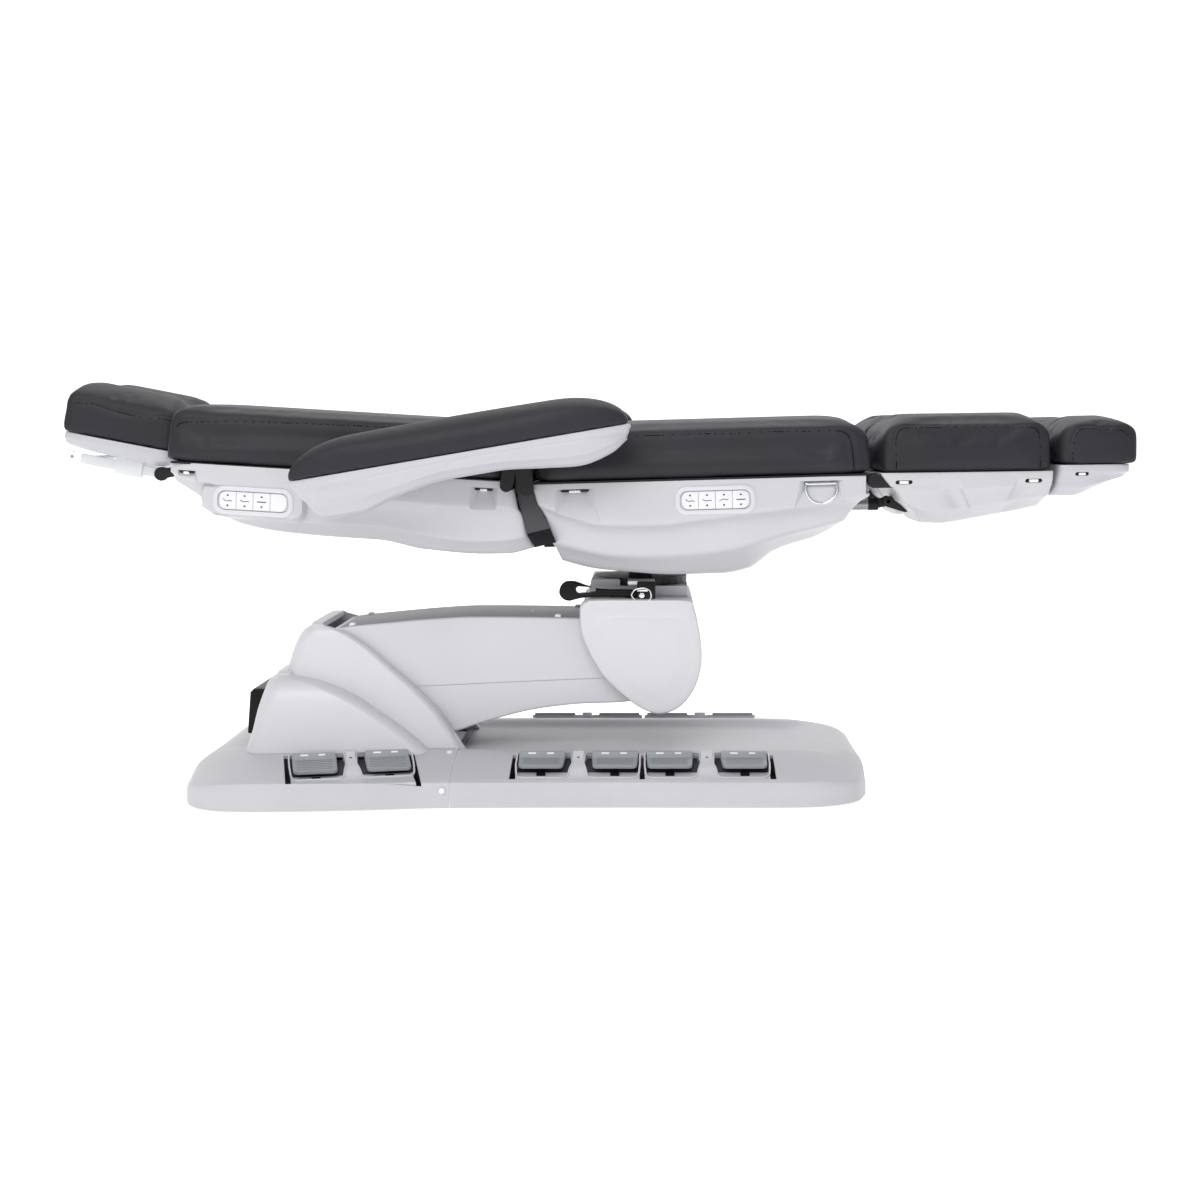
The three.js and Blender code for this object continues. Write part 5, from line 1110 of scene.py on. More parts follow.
def rear_panel():
    """Black panel with the power inlet and its switch."""
    face = rounded([(-656, 98), (-649, 177), (-642, 184), (-622, 184), (-629, 98)], [3, 3, 3, 2, 2], 4)
    panel = slab(face, -104, 104, bevel=2, name="panel", material=BLACK)
    cutters = [block((-676, -639), (-23.5, 23.5), (127, 155), radius=3)]
    for side in (-1, 1):
        for z in range(112, 172, 8):
            cutters.append(block((-660, -653.5), (side * 40, side * 94), (z, z + 2.2)))
    carve(panel, cutters)
    parts = [panel]
    for y, z in ((-8, 137), (0, 141), (8, 137)):
        parts.append(block((-646, -638), (y - 1, y + 1), (z, z + 6), name="pin", material=CHROME))
    parts.append(block((-652, -645), (30, 37), (128, 154), radius=1.4, name="switch", material=DARK_TRIM_AND_SLOT_SHADE))
    attach(joined("rear_panel_face", parts), "base", ["rear_panel"])


# Lift arm

ARM = {"half": 103, "wall": 6, "depth": 170, "floor": 150, "x0": -470, "span": 570}
ARM_OUTLINE = [
    [-0.125, 0.6], [-0.061, 0.8], [-0.016, 0.876], [0.123, 0.93], [0.316, 0.986], [0.46, 1.003],
    [0.775, 0.988], [0.93, 0.95], [1.06, 0.86], [1.115, 0.73], [1.12, 0.56], [1.09, 0.3], [1.035, 0.13],
    [0.934, 0.047],
    [0.769, 0.021], [0.613, -0.049], [0.456, -0.189], [0.341, -0.314], [0.211, -0.388], [0.088, -0.376],
    [-0.018, -0.265], [-0.088, -0.059], [-0.13, 0.235],
]


def arm_point(p):
    return (ARM["x0"] + p[0] * ARM["span"], ARM["floor"] + p[1] * ARM["depth"])


def lift_arm():
    outline = closed_curve([arm_point(p) for p in ARM_OUTLINE], 260)
    body = slab(outline, -ARM["half"], ARM["half"], bevel=5, name="lift_arm_skin", material=ARM_PAINT)
    inner = ARM["half"] - ARM["wall"]
    roof = [(x, z - ARM["wall"]) for x, z in map(arm_point, ARM_OUTLINE[:8]) if x < 20]
    rear = roof[0][0] - 20
    under = [(rear, roof[0][1]), *roof, (20, roof[-1][1]), (20, 0), (rear, 0)]
    cutters = [slab(under, -inner, inner), block((19.6, 440), (-inner, inner), (0, 490))]
    for side in (-1, 1):
        line = line_mark(even([(-345, 187.6), (-160, 196.4), (30, 204.7)], 12), 1.3)
        cutters.append(slab(line, side * 101.4, side * 110))
    carve(body, cutters)
    # A thin strip over the arm's top in the darker grey: painted shade cast by the seat above. The white caps
    # sit on it.
    low = ARM["floor"] + ARM["depth"] * 0.82
    upper = [p for p in outline if p[1] > low and -478 < p[0] < 18]
    plate_line = np.array(sorted(upper, key=lambda p: p[0]))
    strip = [*(plate_line + (0, 0.9)), *(plate_line - (0, 2))[::-1]]
    plate = slab(strip, -98, 98, bevel=0.6, name="plate", material=ARM_TOP_SHADE)
    parts = [body]
    for x, z in ((-470, 236), (100, 262)):
        for side in (-1, 1):
            parts.append(bar((x, side * 90.4, z), (x, side * 98, z), 20, "boss", ARM_PAINT, 32))
    for side in (-1, 1):
        parts.append(strap((-120, 215), (-120, 306), 15, (side * 11, side * 18), "base", "lug", ARM_PAINT))
    caps = []
    for side, places in ((-1, (-455, -66)), (1, (-450, -36))):
        for x in places:
            z = np.interp(x, plate_line[:, 0], plate_line[:, 1])
            caps.append(block((x - 6, x + 6), (side * 84, side * 97), (z - 2, z + 5), radius=3, name="cap",
                              material=WHITE))
    attach(joined("lift_arm_form", parts), "arm", ["lift_arm"])
    attach(joined("lift_arm_top_shade_and_caps", [plate, *caps]), "arm")


# Shield over the arm's front end

SHIELD = {"x0": -22, "width": 227, "z0": 143, "height": 215.6, "half": 157}
SHIELD_OUTLINE = [
    [0, 0.93], [0.05, 0.985], [0.15, 1], [0.84, 1], [0.93, 0.93], [0.98, 0.715], [1, 0.505], [0.98, 0.345],
    [0.93, 0.205], [0.85, 0.09], [0.76, 0.025], [0.66, 0], [0.58, 0.012], [0.46, 0.075], [0.32, 0.19],
    [0.185, 0.337], [0.078, 0.527], [0.018, 0.674], [0, 0.757],
]


# From the edge of each face to its middle: the outline's scale, how far its top is cut down, and how far out
SHIELD_STEPS = [
    (1.0, 0, -14), (0.995, 0, -9), (0.975, 2, -5), (0.94, 6, -3.4), (0.84, 22, -2.2), (0.79, 32, -1.6),
    (0.7, 36, 0.6), (0.62, 38, 2.0), (0.6, 39, 2.2),
]


def shield_ring(outline, scale, top_cut, y, centre):
    ring = centre + (outline - centre) * scale
    ring[:, 1] = np.minimum(ring[:, 1], top_cut)
    return np.column_stack([ring[:, 0], np.full(len(ring), y), ring[:, 1]])


def head_shield():
    w, h, half = SHIELD["width"], SHIELD["height"], SHIELD["half"]
    knots = [(SHIELD["x0"] + x * w, SHIELD["z0"] + z * h) for x, z in SHIELD_OUTLINE]
    outline = closed_curve(knots, 200)
    centre = np.array([SHIELD["x0"] + 0.5 * w, SHIELD["z0"] + 0.56 * h])
    top = SHIELD["z0"] + h
    rings = []
    for scale, down, out in reversed(SHIELD_STEPS):
        rings.append(shield_ring(outline, scale, top - down, -half - out, centre))
    for scale, down, out in SHIELD_STEPS:
        rings.append(shield_ring(outline, scale, top - down, half + out, centre))
    body = new_object("head_shield_skin", *skin(rings), HOOD_PAINT)
    inner = closed_curve(knots, 60)
    inner = inner + normals_of(inner) * 6
    cutters = [slab(inner, -half + 7, half - 7), block((-42, 62), (-109, 109), (123, 352.6)),
               block((61.6, 124), (-109, 109), (123, 190)), block((50, 150), (-95, 95), (250, 380))]
    carve(body, cutters)
    attach(body, "head", ["head_shield"])


# Swivel head: casting under the seat, lock lever and its chrome clamp


def swivel_parts():
    casting = [block((-4, 52), (-88, 88), (360, 390.5), radius=4, name="casting", material=ARM_PAINT),
               block((124, 178), (-90, 90), (360, 376.5), radius=4, name="casting", material=ARM_PAINT)]
    attach(joined("swivel_casting", casting), "head")
    ring = bar((90, 0, 377.5), (90, 0, 391.4), 88, "bearing", BLACK, 72, 1.5)
    attach(ring, "turn")
    wire = [(74, 368), (80, 376), (88, 379), (100, 379), (108, 374), (110, 364), (106, 357), (96, 354),
            (84, 356), (77, 361)]
    loop = closed_curve([(x, -149.5, z) for x, z in wire], 60)
    clamp = [block((84, 118), (-147, -143), (359.5, 392), radius=3, name="bracket", material=BLACK),
             loop_of_wire(loop, 1.5, "wire", CHROME),
             bar((93, -147, 366), (93, -153, 366), 5.6, "nut", CHROME, 6),
             bar((93, -153, 366), (93, -156, 366), 2.8, "stud", CHROME, 16),
             block((84, 104), (-151, -146), (373, 377), radius=1, name="yoke", material=CHROME)]
    attach(joined("swivel_clamp", clamp), "lever")


def lever():
    outline = closed_curve([
        (-42.5, 391), (-30, 390), (-10, 383), (20, 376), (92, 373.5), (92, 361.4), (20, 361.4), (-14, 360),
        (-30, 357), (-42.5, 354), (-53, 357), (-60, 365), (-61, 374), (-57, 384), (-50, 389.5),
    ], 120)
    handle = slab(outline, -136.5, -119.5, bevel=4, name="lever_handle", material=BLACK)
    slot = rounded([(-30, 368), (7, 371), (7, 379), (-30, 382)], [6, 3.5, 3.5, 6], 6)
    carve(handle, [slab(slot, -160, -100)])
    attach(handle, "lever", ["swivel_lever"])


# Headrest, armrests and leg rests

HEADREST = {
    "rows": [
        [-1.028, -1.03, 0.3, -1.022, 0.6, -0.975, 0.8], [-0.714, -0.714, 0.333, -0.704, 0.667, -0.689, 0.889],
        [-0.454, -0.454, 0.333, -0.454, 0.694, -0.454, 0.944],
        [-0.209, -0.209, 0.333, -0.209, 0.694, -0.209, 1], [0, 0.01, 0.25, 0, 0.5, -0.051, 0.806],
    ],
    "plan": [0.93, 1, 1, 1, 0.985], "length": 196, "depth": 36, "halves": [165, 165, 158, 120], "corner": 16,
    "cove": 0.35, "sag": 0, "parts": (5, 6, 6),
}
ARMREST = {
    "rows": [
        [0, 0.007, 0.167, 0.02, 0.389, 0.053, 0.778], [0.085, 0.085, 0.347, 0.089, 0.667, 0.102, 0.986],
        [0.196, 0.196, 0.306, 0.196, 0.639, 0.187, 0.986], [0.315, 0.315, 0.222, 0.307, 0.5, 0.298, 0.75],
        [0.457, 0.457, 0.167, 0.457, 0.361, 0.457, 0.542], [0.596, 0.596, 0.167, 0.596, 0.375, 0.596, 0.542],
        [0.739, 0.739, 0.222, 0.739, 0.472, 0.739, 0.667], [0.852, 0.852, 0.25, 0.852, 0.528, 0.843, 0.75],
        [0.937, 0.94, 0.194, 0.937, 0.417, 0.934, 0.583], [1, 1.002, 0.083, 0.995, 0.194, 0.985, 0.333],
    ],
    "plan": [0.5, 0.86, 1, 1, 1, 1, 1, 0.95, 0.8, 0.46], "length": 587, "depth": 72,
    "halves": [41, 40, 37.5, 22], "corner": 8, "cove": 0.5, "sag": 3, "parts": (8, 10, 10), "across": 5,
}
CALF = {
    "rows": [
        [0, 0.053, 0.258, 0.138, 0.581, 0.263, 0.989], [0.23, 0.247, 0.323, 0.296, 0.753, 0.375, 1],
        [0.493, 0.493, 0.323, 0.526, 0.667, 0.592, 0.892], [0.757, 0.757, 0.28, 0.773, 0.559, 0.789, 0.785],
        [1, 0.997, 0.258, 0.984, 0.452, 0.934, 0.688],
    ],
    "plan": [0.985, 1, 1, 1, 0.99], "length": 304, "depth": 93, "halves": [137, 137, 131, 100], "corner": 6,
    "cove": 0.6, "sag": 0, "parts": (12, 26, 12),
}
FOOT = {
    "rows": [
        [0, -0.016, 0.351, -0.039, 0.702, -0.062, 0.982], [0.352, 0.352, 0.316, 0.289, 0.702, 0.234, 1],
        [0.703, 0.664, 0.281, 0.602, 0.561, 0.547, 0.737], [1, 1, 0.246, 0.945, 0.386, 0.82, 0.491],
    ],
    "plan": [0.985, 1, 0.98, 0.88], "length": 128, "depth": 57, "halves": [137, 137, 129, 100], "corner": 12,
    "cove": 0.7, "sag": 0, "parts": (8, 12, 8),
}
ARMREST_Y = 371
LEG_CENTRE = 146.5


def headrest():
    # The headrest shell takes the darker copy of the moulding: painted shade.
    shell = hollow_tray("headrest_shell_skin", HEADREST, "head", inset=(6, 6, 7), material=REST_SHADED)
    saddles = []
    for side in (-1, 1):
        saddle = block((-110, -60), (side * 99, side * 116.4), (-62, -30), "head", name="saddle",
                       material=ALUMINIUM)
        carve(saddle, [block((-130, -40), (side * 90, side * 112.4), (-56.6, -37.6), "head")])
        saddles.append(saddle)
    attach(joined("headrest_shell_form", [shell, *saddles]), "headrest", ["headrest_shell"])
    ends = []
    for side in (-1, 1):
        ends.append(block((-199, -190), (side * 101, side * 111), (-39.5, -37), "head", radius=1, name="post",
                          material=ALUMINIUM))
        spot = placed([(-192, side * 111.5, -47), (-192, side * 114.5, -47)], "head")
        ends.append(bar(spot[0], spot[1], 3.4, "bolt", CHROME, 20))
    attach(joined("rail_ends", ends), "rail")


def arm_relief(x, half, z):
    """Two soft grooves along the armrest, under its rim and round its fuller front end."""
    upper = np.exp(-(((z + 13.5 + 3 * np.cos(x / 110)) / 2.6) ** 2)) * step(x, 20, 90)
    lower_z = -46 + 0.06 * np.clip(x, 0, 330) + 16 * step(x, 150, 330)
    lower = np.exp(-(((z - lower_z) / 3.2) ** 2)) * step(x, 25, 60) * (1 - step(x, 260, 340))
    return half - 3.2 * upper - 3.0 * lower


def armrests():
    for side in (-1, 1):
        label = "near" if side < 0 else "far"
        spec = dict(ARMREST, centre=side * ARMREST_Y, relief=arm_relief)
        # The armrest shell and its boss take the darker copy of the moulding: painted shade.
        shell = hollow_tray(f"armrest_shell_skin_{label}", spec, "arm", inset=(5, 5, 5), material=REST_SHADED)
        hub = placed([(325.8, side * 309.8, -22), (325.8, side * 342, -22)], "arm")
        whole = joined(f"armrest_shell_form_{label}", [shell, bar(hub[0], hub[1], 14, "boss", REST_SHADED, 32)])
        attach(whole, f"armrest_{label}", [f"armrest_shell_{label}"])


CALF_POD = {"top": (136, 238), "low": (163, 213), "z": (-17, -70)}


def calf_relief(x, half, z):
    """A band under the rim, and below it a raised panel between two hollows."""
    band = step(-z, 15.5, 18)
    left = CALF_POD["top"][0] + (CALF_POD["low"][0] - CALF_POD["top"][0]) * (-z - 17) / 53
    right = CALF_POD["top"][1] + (CALF_POD["low"][1] - CALF_POD["top"][1]) * (-z - 17) / 53
    inside = np.minimum(np.minimum(x - left, right - x), z + 70)
    raised = step(inside, -4, 1)
    hollow = np.exp(-(((x - left + 18) / 16) ** 2)) + np.exp(-(((x - right - 18) / 16) ** 2))
    hollow *= step(-z, 22, 40) * (1 - step(-z, 58, 78))
    return half + (1 - raised) * (-4.5 * band - 6.5 * hollow * band)


# Slots along the legs: where each starts, its length, its lower and upper edge, and how far its floor lies
# from the middle of the leg rest, then its nylon block's margin along it, edges, reach and rounding
SLOTS = {
    "calf": {"at": (26, 254), "long": 30, "z": (-20.5, -13.5), "face": 129, "in": 7, "nylon": (-19.8, -14.4),
             "out": 7, "round": 1.5, "shift": (0, 0)},
    "foot": {"at": (27,), "long": 24, "z": (-19.5, -13), "face": 130, "in": 6, "nylon": (-18.8, -14),
             "out": 6, "round": 1.4, "shift": FOOT_AT},
}
CALF_HUB = (-10.5, -14.6)
STRUT = {"y": 145, "pin": (31, -56)}


def slot_cutters(part, side):
    slot, y = SLOTS[part], (side * (LEG_CENTRE + 128), side * (LEG_CENTRE + 150))
    return [block((x, x + slot["long"]), y, slot["z"], "leg", slot["shift"], radius=3) for x in slot["at"]]


def slot_trim(part, side):
    """The floor of each slot, dark as painted shade inside it, and the nylon block."""
    slot, trim = SLOTS[part], []
    face = side * (LEG_CENTRE + slot["face"])
    low, high = slot["z"]
    for x in slot["at"]:
        end = x + slot["long"]
        trim.append(block((x, end), (face - side * 3, face), (low - 1, high + 1), "leg", slot["shift"],
                          name="slot", material=DARK_TRIM_AND_SLOT_SHADE))
        y = (face, face + side * slot["out"])
        trim.append(block((x + slot["in"], end - slot["in"]), y, slot["nylon"], "leg", slot["shift"],
                          radius=slot["round"], name="nylon", material=WHITE))
    return trim


def leg_bar(start, end, radius, name="cutter", material=None, count=24, bevel=EDGE):
    return bar(*placed([start, end], "leg"), radius, name, material, count, bevel)


def leg_rests():
    for side in (-1, 1):
        label = "near" if side < 0 else "far"
        centre, strut = side * LEG_CENTRE, side * STRUT["y"]
        spec = dict(CALF, centre=centre, relief=calf_relief)
        cutters = slot_cutters("calf", side)
        hub_x, hub_z = CALF_HUB
        for y in (262, 40):
            start, end = (hub_x, side * (y - 1), hub_z), (hub_x, side * (y + 6.6), hub_z)
            cutters.append(leg_bar(start, end, 13.5, count=28, bevel=0))
        shell = hollow_tray(f"calf_shell_skin_{label}", spec, "leg", inset=(16, 5, 7), cutters=cutters)
        rib = block((262, 268), (centre - 110, centre + 110), (-50, -8), "leg", name="rib", material=MOULDING)
        inner = [shell, rib]
        for y in (268.8, 46.8):
            inner.append(strap(CALF_HUB, (22, hub_z), 12, (side * y, side * (y + 6)), "leg", "lug", STEEL))
        for y in (strut - 15, strut + 8):
            inner.append(strap(STRUT["pin"], (62, -66), 10, (y, y + 7), "leg", "cheek", STEEL))
        x, z = STRUT["pin"]
        inner.append(leg_bar((x, strut - 15, z), (x, strut + 15, z), 4, "pin", CHROME, 20))
        attach(joined(f"calf_shell_form_{label}", inner), f"leg_{label}", [f"calf_shell_{label}"])
        attach(joined(f"calf_hooks_{label}", slot_trim("calf", side)), f"leg_{label}")
        spec = dict(FOOT, centre=centre, relief=foot_relief)
        # The foot shell takes the darker copy of the moulding: painted shade on its hollow side.
        inner = [hollow_tray(f"foot_shell_skin_{label}", spec, "leg", FOOT_AT, inset=(13, 4, 5),
                             cutters=slot_cutters("foot", side), material=REST_SHADED)]
        for y in (centre - 70, centre + 70):
            inner.append(leg_bar((140, y, -25), (321, y, -25), 7, "rod", CHROME))
        whole = joined(f"foot_shell_form_{label}", inner)
        attach(whole, f"foot_{label}", [f"foot_shell_{label}"])
        attach(joined(f"foot_hooks_{label}", slot_trim("foot", side)), f"foot_{label}")


def foot_relief(x, half, z):
    band = step(-z, 13, 16)
    hollow = np.exp(-(((x - 78) / 20) ** 2)) * step(-z, 14, 22) * (1 - step(-z, 24, 40))
    return half - 3.5 * band - 4 * hollow


# Cushions


# A cushion's box: both ends, half width, height of the side, crown, how far the corners draw in, how far they
# lift, how far the ends' rims drop as a share of the side, and how much the corners narrow it in plan
FORM_STEPS = 40
CLOTH_FRAMES = 18
HELD_BELOW = 7
STITCH = {"every": 6.0, "beside": 4.2, "length": 3.6, "radius": 0.85}
GROOVE = {"depth": 1.7, "reach": 4.5}


def cushion_form(x0, x1, half, side, crown, corner, lift, end, plan, section, centre=0, shift=(0, 0), lobes=0,
                 shrink=2.0, name="cushion"):
    """A crowned closed form with drawn-in sides, a little smaller than the finished cushion."""
    rings = []
    for along in (1 - np.cos(np.linspace(0, math.pi, FORM_STEPS + 1))) / 2:
        reach = min(1, min(along, 1 - along) * (x1 - x0) / corner)
        curve = math.sqrt(1 - (1 - reach) ** 2)
        x = x0 + (x1 - x0) * along
        x = (x0 + x1) / 2 + (x - (x0 + x1) / 2) * (1 - 2 * shrink / (x1 - x0))
        foot = lift * (1 - curve)
        rim = side * (1 - end * (1 - curve))
        width = half - shrink - corner * plan * (1 - curve)
        line = []
        for share, up in [(0.985, 0.0), (0.994, 0.06), (1.0, 0.2), (1.0, 0.5), (0.998, 0.78), (0.988, 0.92)]:
            line.append((width * share, foot + (rim - foot) * up))
        for share in (0.965, 0.93, 0.86, 0.74, 0.6, 0.46, 0.32, 0.18, 0.06):
            dome = 1 - share**2.6
            if lobes:
                dome = (1 - share**4) * (1 - lobes * math.exp(-((share / 0.34) ** 2)))
            line.append((width * share, rim + (crown * curve - shrink) * dome + 1.2 * (share < 0.97)))
        ring = [(x, y, z) for y, z in line] + [(x, -y, z) for y, z in line[::-1]]
        rings.append(ring)
    rings = np.array(rings)
    rings[..., 1] += centre
    return turned(*skin(rings), section, shift, name, LEATHER)


def puff(obj, floor_points, voxel, cap):
    """Fills a closed form with air: remesh, cloth with pressure, and a limit on how far a point may move."""
    remesh = obj.modifiers.new("remesh", "REMESH")
    remesh.mode = "VOXEL"
    remesh.voxel_size = voxel * MM
    remesh.use_smooth_shade = True
    evaluated(obj)
    relax = obj.modifiers.new("smooth", "SMOOTH")
    relax.iterations = 3
    relax.factor = 0.5
    evaluated(obj)
    points = np.array([v.co for v in obj.data.vertices])
    origin, normal = floor_points
    height = (points - np.array(origin)) @ np.array(normal)
    held = obj.vertex_groups.new(name="held")
    for i in np.nonzero(height < HELD_BELOW * MM)[0]:
        held.add([int(i)], 1.0, "REPLACE")
    cloth = obj.modifiers.new("cloth", "CLOTH")
    s = cloth.settings
    s.quality = 5
    s.mass = 0.35
    s.tension_stiffness = s.compression_stiffness = 22
    s.shear_stiffness = 10
    s.bending_stiffness = 1.2
    s.use_pressure = True
    s.uniform_pressure_force = 3.2
    s.vertex_group_mass = "held"
    s.effector_weights.gravity = 0
    cloth.collision_settings.use_collision = False
    cloth.point_cache.frame_start, cloth.point_cache.frame_end = 1, CLOTH_FRAMES
    scene = bpy.context.scene
    for step_frame in range(1, CLOTH_FRAMES + 1):
        scene.frame_set(step_frame)
    graph = bpy.context.evaluated_depsgraph_get()
    moved = np.array([v.co for v in obj.evaluated_get(graph).data.vertices])
    obj.modifiers.clear()
    obj.vertex_groups.clear()
    scene.frame_set(1)
    shift = moved - points
    size = np.linalg.norm(shift, axis=1)[:, None]
    shift *= np.minimum(1, cap * MM / np.maximum(size, 1e-9))
    obj.data.vertices.foreach_set("co", (points + shift).ravel())
    obj.data.update()
    return obj


def refine(obj):
    modifier = obj.modifiers.new("fine", "SUBSURF")
    modifier.levels = modifier.render_levels = 1
    return evaluated(obj)


def length_of(line):
    return np.linalg.norm(np.diff(line[:, :3], axis=0), axis=1).sum()


def seam(obj, path, side):
    """Draws a seam in along a path of points on the surface, and returns the stitches to one side of it."""
    tree = BVHTree.FromObject(obj, bpy.context.evaluated_depsgraph_get())
    line = []
    for p in path:
        spot, normal, _, _ = tree.find_nearest(Vector(p) * MM)
        line.append((*spot, *normal))
    line = np.array(line)
    fine = even(line, max(8, int(length_of(line) / (2.0 * MM))))
    points = np.array([v.co for v in obj.data.vertices])
    reach = GROOVE["reach"] * MM
    low, high = fine[:, :3].min(0) - reach, fine[:, :3].max(0) + reach
    near = np.nonzero(np.all((points > low) & (points < high), axis=1))[0]
    for chunk in np.array_split(near, max(1, len(near) // 4000)):
        gaps = np.linalg.norm(points[chunk][:, None] - fine[None, :, :3], axis=2)
        best = gaps.argmin(1)
        gap = gaps.min(1) / reach
        depth = np.where(gap < 1, (1 - gap**2) ** 2, 0) * GROOVE["depth"] * MM
        points[chunk] -= fine[best, 3:] * depth[:, None]
    obj.data.vertices.foreach_set("co", points.ravel())
    obj.data.update()
    tree = BVHTree.FromObject(obj, bpy.context.evaluated_depsgraph_get())
    stitches = []
    marks = even(fine, int(length_of(fine) / (STITCH["every"] * MM)) + 1)
    for a, b in zip(marks, marks[1:]):
        along = b[:3] - a[:3]
        size = np.linalg.norm(along)
        if size < 1e-6:
            continue
        along /= size
        normal = (a[3:] + b[3:]) / np.linalg.norm(a[3:] + b[3:])
        middle = (a[:3] + b[:3]) / 2 + np.cross(along, normal) * side * STITCH["beside"] * MM
        spot, surface, _, _ = tree.find_nearest(Vector(middle))
        stitches.append((np.array(spot), along, np.array(surface)))
    return stitches


def stitch_object(stitches, name):
    """One mesh of small thread beads, each lying on the surface."""
    length, radius = STITCH["length"] * MM, STITCH["radius"] * MM
    points, faces = [], []
    sides = 6
    profile_ = [(-0.5, 0.35), (-0.25, 1.0), (0.25, 1.0), (0.5, 0.35)]
    for spot, along, normal in stitches:
        cross = np.cross(along, normal)
        base = len(points)
        for share, size in profile_:
            centre = spot + along * length * share + normal * 0.15 * MM
            for k in range(sides):
                a = 2 * math.pi * k / sides
                points.append(centre + (cross * math.cos(a) + normal * math.sin(a)) * radius * size)
        for ring in range(3):
            for k in range(sides):
                n = (k + 1) % sides
                faces.append((base + ring * sides + k, base + ring * sides + n,
                              base + (ring + 1) * sides + n, base + (ring + 1) * sides + k))
        faces.append(tuple(base + k for k in range(sides)))
        faces.append(tuple(base + 3 * sides + k for k in range(sides)))
    return new_object(name, np.array(points) / MM, faces, THREAD)


def cushion(name, body, node, section, box, line=(), half=0, centre=0, voxel=6, cap=5, shift=(0, 0), **form):
    """A filled cushion: its form's sizes in a box, and the [x, z] line of the seam along both its sides."""
    obj = cushion_form(*box, section=section, centre=centre, shift=shift, name=name, **form)
    origin = placed([(0, 0, 0)], section, shift)[0] * MM
    puff(obj, (origin, direction((0, 0, 1), section)), voxel, cap)
    refine(obj)
    stitches = []
    for side in (-1, 1) if line else ():
        path = [(x, centre + side * half, z) for x, z in even(line, 60)]
        stitches += seam(obj, placed(path, section, shift), -side)
    finish_mesh(obj.data, math.radians(70))
    attach(obj, body, [node])
    if stitches:
        stitch_object(stitches, f"{name}_stitches").parent = obj


def arc(cx, cz, radius, start, end):
    turns = np.radians(np.linspace(start, end, 8))
    return [(cx + radius * math.cos(a), cz + radius * math.sin(a)) for a in turns]


def cushions():
    seat_line = [(4, 84), (200, 88), (400, 89), (510, 88), *arc(528, 52, 36, 90, 0)[1:], (567, 30), (568, 4)]
    back_line = [(-584, 66), (-571, 74), (-480, 84), (-381, 88), (-271, 92), (-150, 94), (-40, 93), (-6, 88)]
    calf_line = [(22, 4), (20, 60), *arc(50, 62, 28, 180, 90), (150, 91), (246, 89), *arc(256, 60, 28, 80, 0),
                 (286, 4)]
    foot_line = [(16, 4), (15, 36), *arc(50, 44, 30, 170, 100), (75, 72), (112, 64), (124, 52)]
    head_line = [(-186, 60), (-150, 66), (-110, 60), (-60, 56), (-20, 62), (-4, 62)]

    cushion("seat_cushion_skin", "seat", "seat_cushion", "seat",
            (-2, 597, 290, 88, 13, 58, 5, 0.32, 0.28), seat_line, 292, voxel=7)
    cushion("back_cushion_skin", "back", "back_cushion", "back",
            (-597, 0, 290, 92, 9, 36, 4, 0.2, 0.28), back_line, 292, voxel=7)
    cushion("headrest_cushion_skin", "headrest", "headrest_cushion", "head",
            (-205, 1, 166, 69, 30, 21, 4, 0.12, 0.45), head_line, 168, voxel=5.5, cap=4, lobes=0.55)
    for side in (-1, 1):
        label = "near" if side < 0 else "far"
        centre = side * LEG_CENTRE
        cushion(f"calf_cushion_skin_{label}", f"leg_{label}", f"calf_cushion_{label}", "leg",
                (2, 303, 138, 85, 15, 36, 3, 0.3, 0.3), calf_line, 140, centre)
        cushion(f"foot_cushion_skin_{label}", f"foot_{label}", f"foot_cushion_{label}", "leg",
                (0, 141, 138, 71, 12, 40, 3, 0.3, 0.4), foot_line, 140, centre, voxel=5.5, shift=FOOT_AT)
        cushion(f"armrest_pad_skin_{label}", f"armrest_{label}", f"armrest_pad_{label}", "arm",
                (0, 587, 42, 38, 23, 120, 0, 0.85, 0.2), centre=side * ARMREST_Y, voxel=4.5, cap=2.5,
                shrink=1.2)


# The other moving trim


def rings():
    for side in (-1, 1):
        label = "near" if side < 0 else "far"
        y, z = side * 279, -16
        turns = np.linspace(0, math.pi, 24)
        round_ = [(RING_X + 27 * math.cos(a), y, z - 9 - 26 * math.sin(a)) for a in turns]
        loop = [(RING_X + 27, y, z), *round_, *[(RING_X + x, y, z) for x in (-27, -14, 0, 14)]]
        line = placed(even([*loop, loop[0]], 90)[:-1], "seat")
        obj = loop_of_wire(line, 2.6, f"pull_ring_{label}", CHROME)
        attach(obj, f"ring_{label}", [f"release_ring_{label}"])


def struts():
    for side in (-1, 1):
        label = "near" if side < 0 else "far"
        middle = side * 145
        ends = placed([(-226, middle, -60), (12, middle, -60)], "leg")
        parts = [bar(ends[0], ends[1], 11.3, "tube", GREY_STEEL, 32, 1.2)]
        collar = placed([(-6, middle, -60), (14, middle, -60)], "leg")
        parts.append(bar(collar[0], collar[1], 12.2, "collar", BLACK, 32, 1.4))
        parts.append(strap((8, -60), (31, -56), 8.5, (middle - 7, middle + 7), "leg", "eye", STEEL))
        attach(joined(f"strut_tube_{label}", parts), f"strut_{label}", [f"leg_strut_{label}"])


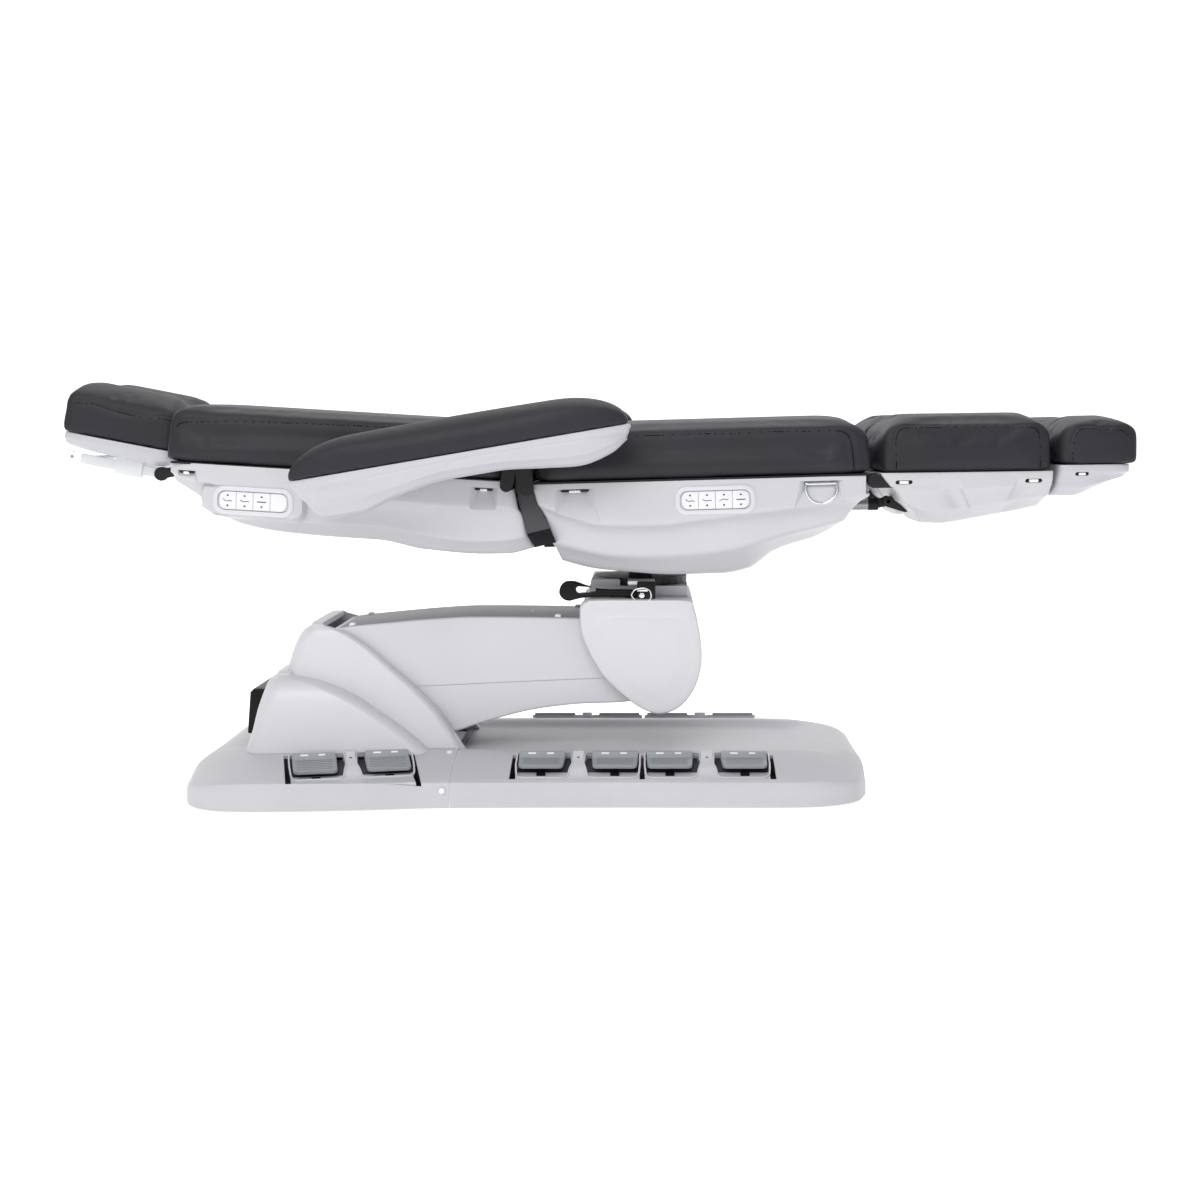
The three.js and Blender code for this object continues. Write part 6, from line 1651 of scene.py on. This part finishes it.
def gap_cover():
    """Panel that fills the gap behind the seat, with a black foot and folds of cloth above it."""
    rear = [(-4, -116), (-16.8, -91.7), (-31.5, -31), (-31.5, -17)]

    def edge(z):
        return -0.40 * z - 9.6

    outline = [rear[1], (edge(-83), -83), (edge(-29), -29), (-7, -5.5), (-9, -6), rear[3], rear[2]]
    panel = slab(outline, -262, 262, "seat", bevel=1.5, name="panel", material=GAP_PANEL_AND_PAD_SHADE)
    outline = [rear[0], (edge(-108), -108), (edge(-83.4), -83.4), (rear[1][0], -92.1)]
    foot = slab(outline, -262, 262, "seat", bevel=1.2, name="foot", material=BLACK)
    for piece in (panel, foot):
        carve(piece, [block((-60, 80), (-MOTOR_HALF, MOTOR_HALF), (-118.3, 20), "seat")])
    bridge = {"section": "seat", "name": "bridge", "material": BLACK}
    parts = [panel, foot, block((-3, 22), (-34, 34), (-132, -118.4), radius=2, **bridge)]
    corners = [(-33, -22), (-12, -10), (-5, -4), (-8, 38), (-32, 38), (-38, 12)]
    cloth = rounded(corners, [5, 4, 3, 4, 4, 10], 6)
    for side in (-1, 1):
        parts.append(block((-3, 22), (side * 20.4, side * 34), (-119, -100), **bridge))
        parts.append(slab(cloth, side * 24, side * 276, "seat", bevel=3, name="cloth", material=LEATHER))
        for low, high, out in ((-27, -38, 276), (-20, -26, 278), (-13, -14, 276), (-8, -5, 274)):
            ends = placed([(low, side * (out - 4), -14 - low / 3), (high, side * (out + 2), 38)], "seat")
            parts.append(bar(ends[0], ends[1], 4, "fold", LEATHER, 20, 3))
    attach(joined("gap_cover_panel", parts), "seat", ["gap_cover"])


# Scene

LIGHT = {"world": 0.52, "sweep": 0.53, "key": 100, "top": 60}
CAMERA = {"place": (0.1081, -3.136, 0.6713), "down": 6, "lens": 48.6, "sensor": 36, "shift": -0.0417}


def area_light(name, location, target, size, power):
    data = bpy.data.lights.new(name, "AREA")
    data.shape = "RECTANGLE"
    data.size, data.size_y = size
    data.energy = power
    obj = bpy.data.objects.new(name, data)
    obj.location = location
    obj.rotation_euler = (Vector(target) - Vector(location)).to_track_quat("-Z", "Y").to_euler()
    bpy.context.scene.collection.objects.link(obj)


def studio():
    """A white sweep below and behind, and broad lights above and in front."""
    sweep_mat = material("studio_sweep", (0.86, 0.86, 0.86), 0.9, vary=0.0, spread=0.0)
    surface = sweep_mat.node_tree.nodes["Principled BSDF"]
    surface.inputs["Emission Color"].default_value = (1, 1, 1, 1)
    surface.inputs["Emission Strength"].default_value = LIGHT["sweep"]
    surface.inputs["Specular IOR Level"].default_value = 0.0
    run = [(-9, 0), (2.2, 0)]
    run += [(2.2 + 2.4 * math.sin(a), 2.4 * (1 - math.cos(a))) for a in np.linspace(0.1, math.pi / 2, 16)]
    run.append((4.6, 9))
    points = [(x, y, z) for y, z in run for x in (-12, 12)]
    faces = [(2 * i, 2 * i + 1, 2 * i + 3, 2 * i + 2) for i in range(len(run) - 1)]
    mesh = bpy.data.meshes.new("sweep")
    mesh.from_pydata(points, [], faces)
    mesh.polygons.foreach_set("use_smooth", [True] * len(mesh.polygons))
    sweep = bpy.data.objects.new("sweep", mesh)
    mesh.materials.append(sweep_mat)
    bpy.context.scene.collection.objects.link(sweep)
    world = bpy.data.worlds.new("studio")
    world.use_nodes = True
    world.node_tree.nodes["Background"].inputs["Color"].default_value = (1, 1, 1, 1)
    world.node_tree.nodes["Background"].inputs["Strength"].default_value = LIGHT["world"]
    bpy.context.scene.world = world
    area_light("key", (-1.0, -3.6, 2.9), (0, 0, 0.4), (3.0, 1.8), LIGHT["key"])
    area_light("top", (0.2, 0.4, 3.4), (0, 0, 0.5), (3.4, 2.0), LIGHT["top"])
    bpy.context.scene.view_settings.view_transform = "Standard"
    bpy.context.scene.view_settings.look = "None"


def camera():
    """Nearly level with the top and a little above it, as the photograph was taken."""
    data = bpy.data.cameras.new("photo")
    data.sensor_width = CAMERA["sensor"]
    data.lens = CAMERA["lens"]
    data.shift_x = CAMERA["shift"]
    obj = bpy.data.objects.new("photo", data)
    obj.location = CAMERA["place"]
    obj.rotation_euler = (math.radians(90 - CAMERA["down"]), 0, 0)
    bpy.context.scene.collection.objects.link(obj)
    bpy.context.scene.camera = obj


CAD_FINISH = {
    "base_frame": STEEL, "lift_link": STEEL, "lift_head": ARM_PAINT, "turntable": STEEL,
    "seat_frame": STEEL, "back_frame": STEEL, "lift_motor": BLACK, "lift_rod": CHROME, "back_motor": BLACK,
    "back_rod": CHROME, "headrest_rail": ALUMINIUM,
}

camera()
studio()
for node, look in CAD_FINISH.items():
    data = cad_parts[node].data
    data.materials.clear()
    data.materials.append(look)

seat_shell()
back_shell()
keys(SEAT_KEYPAD, "seat", "seat", ["bed", "bed", "bed", "level"])
keys(BACK_KEYPAD, "back", "back", ["bed", "bed", "level", "plain"])
base_cover()
pedal_trays()
pedals()
base_plugs()
hood_cover()
rear_panel()
lift_arm()
head_shield()
swivel_parts()
lever()
headrest()
armrests()
leg_rests()
rings()
struts()
gap_cover()
cushions()
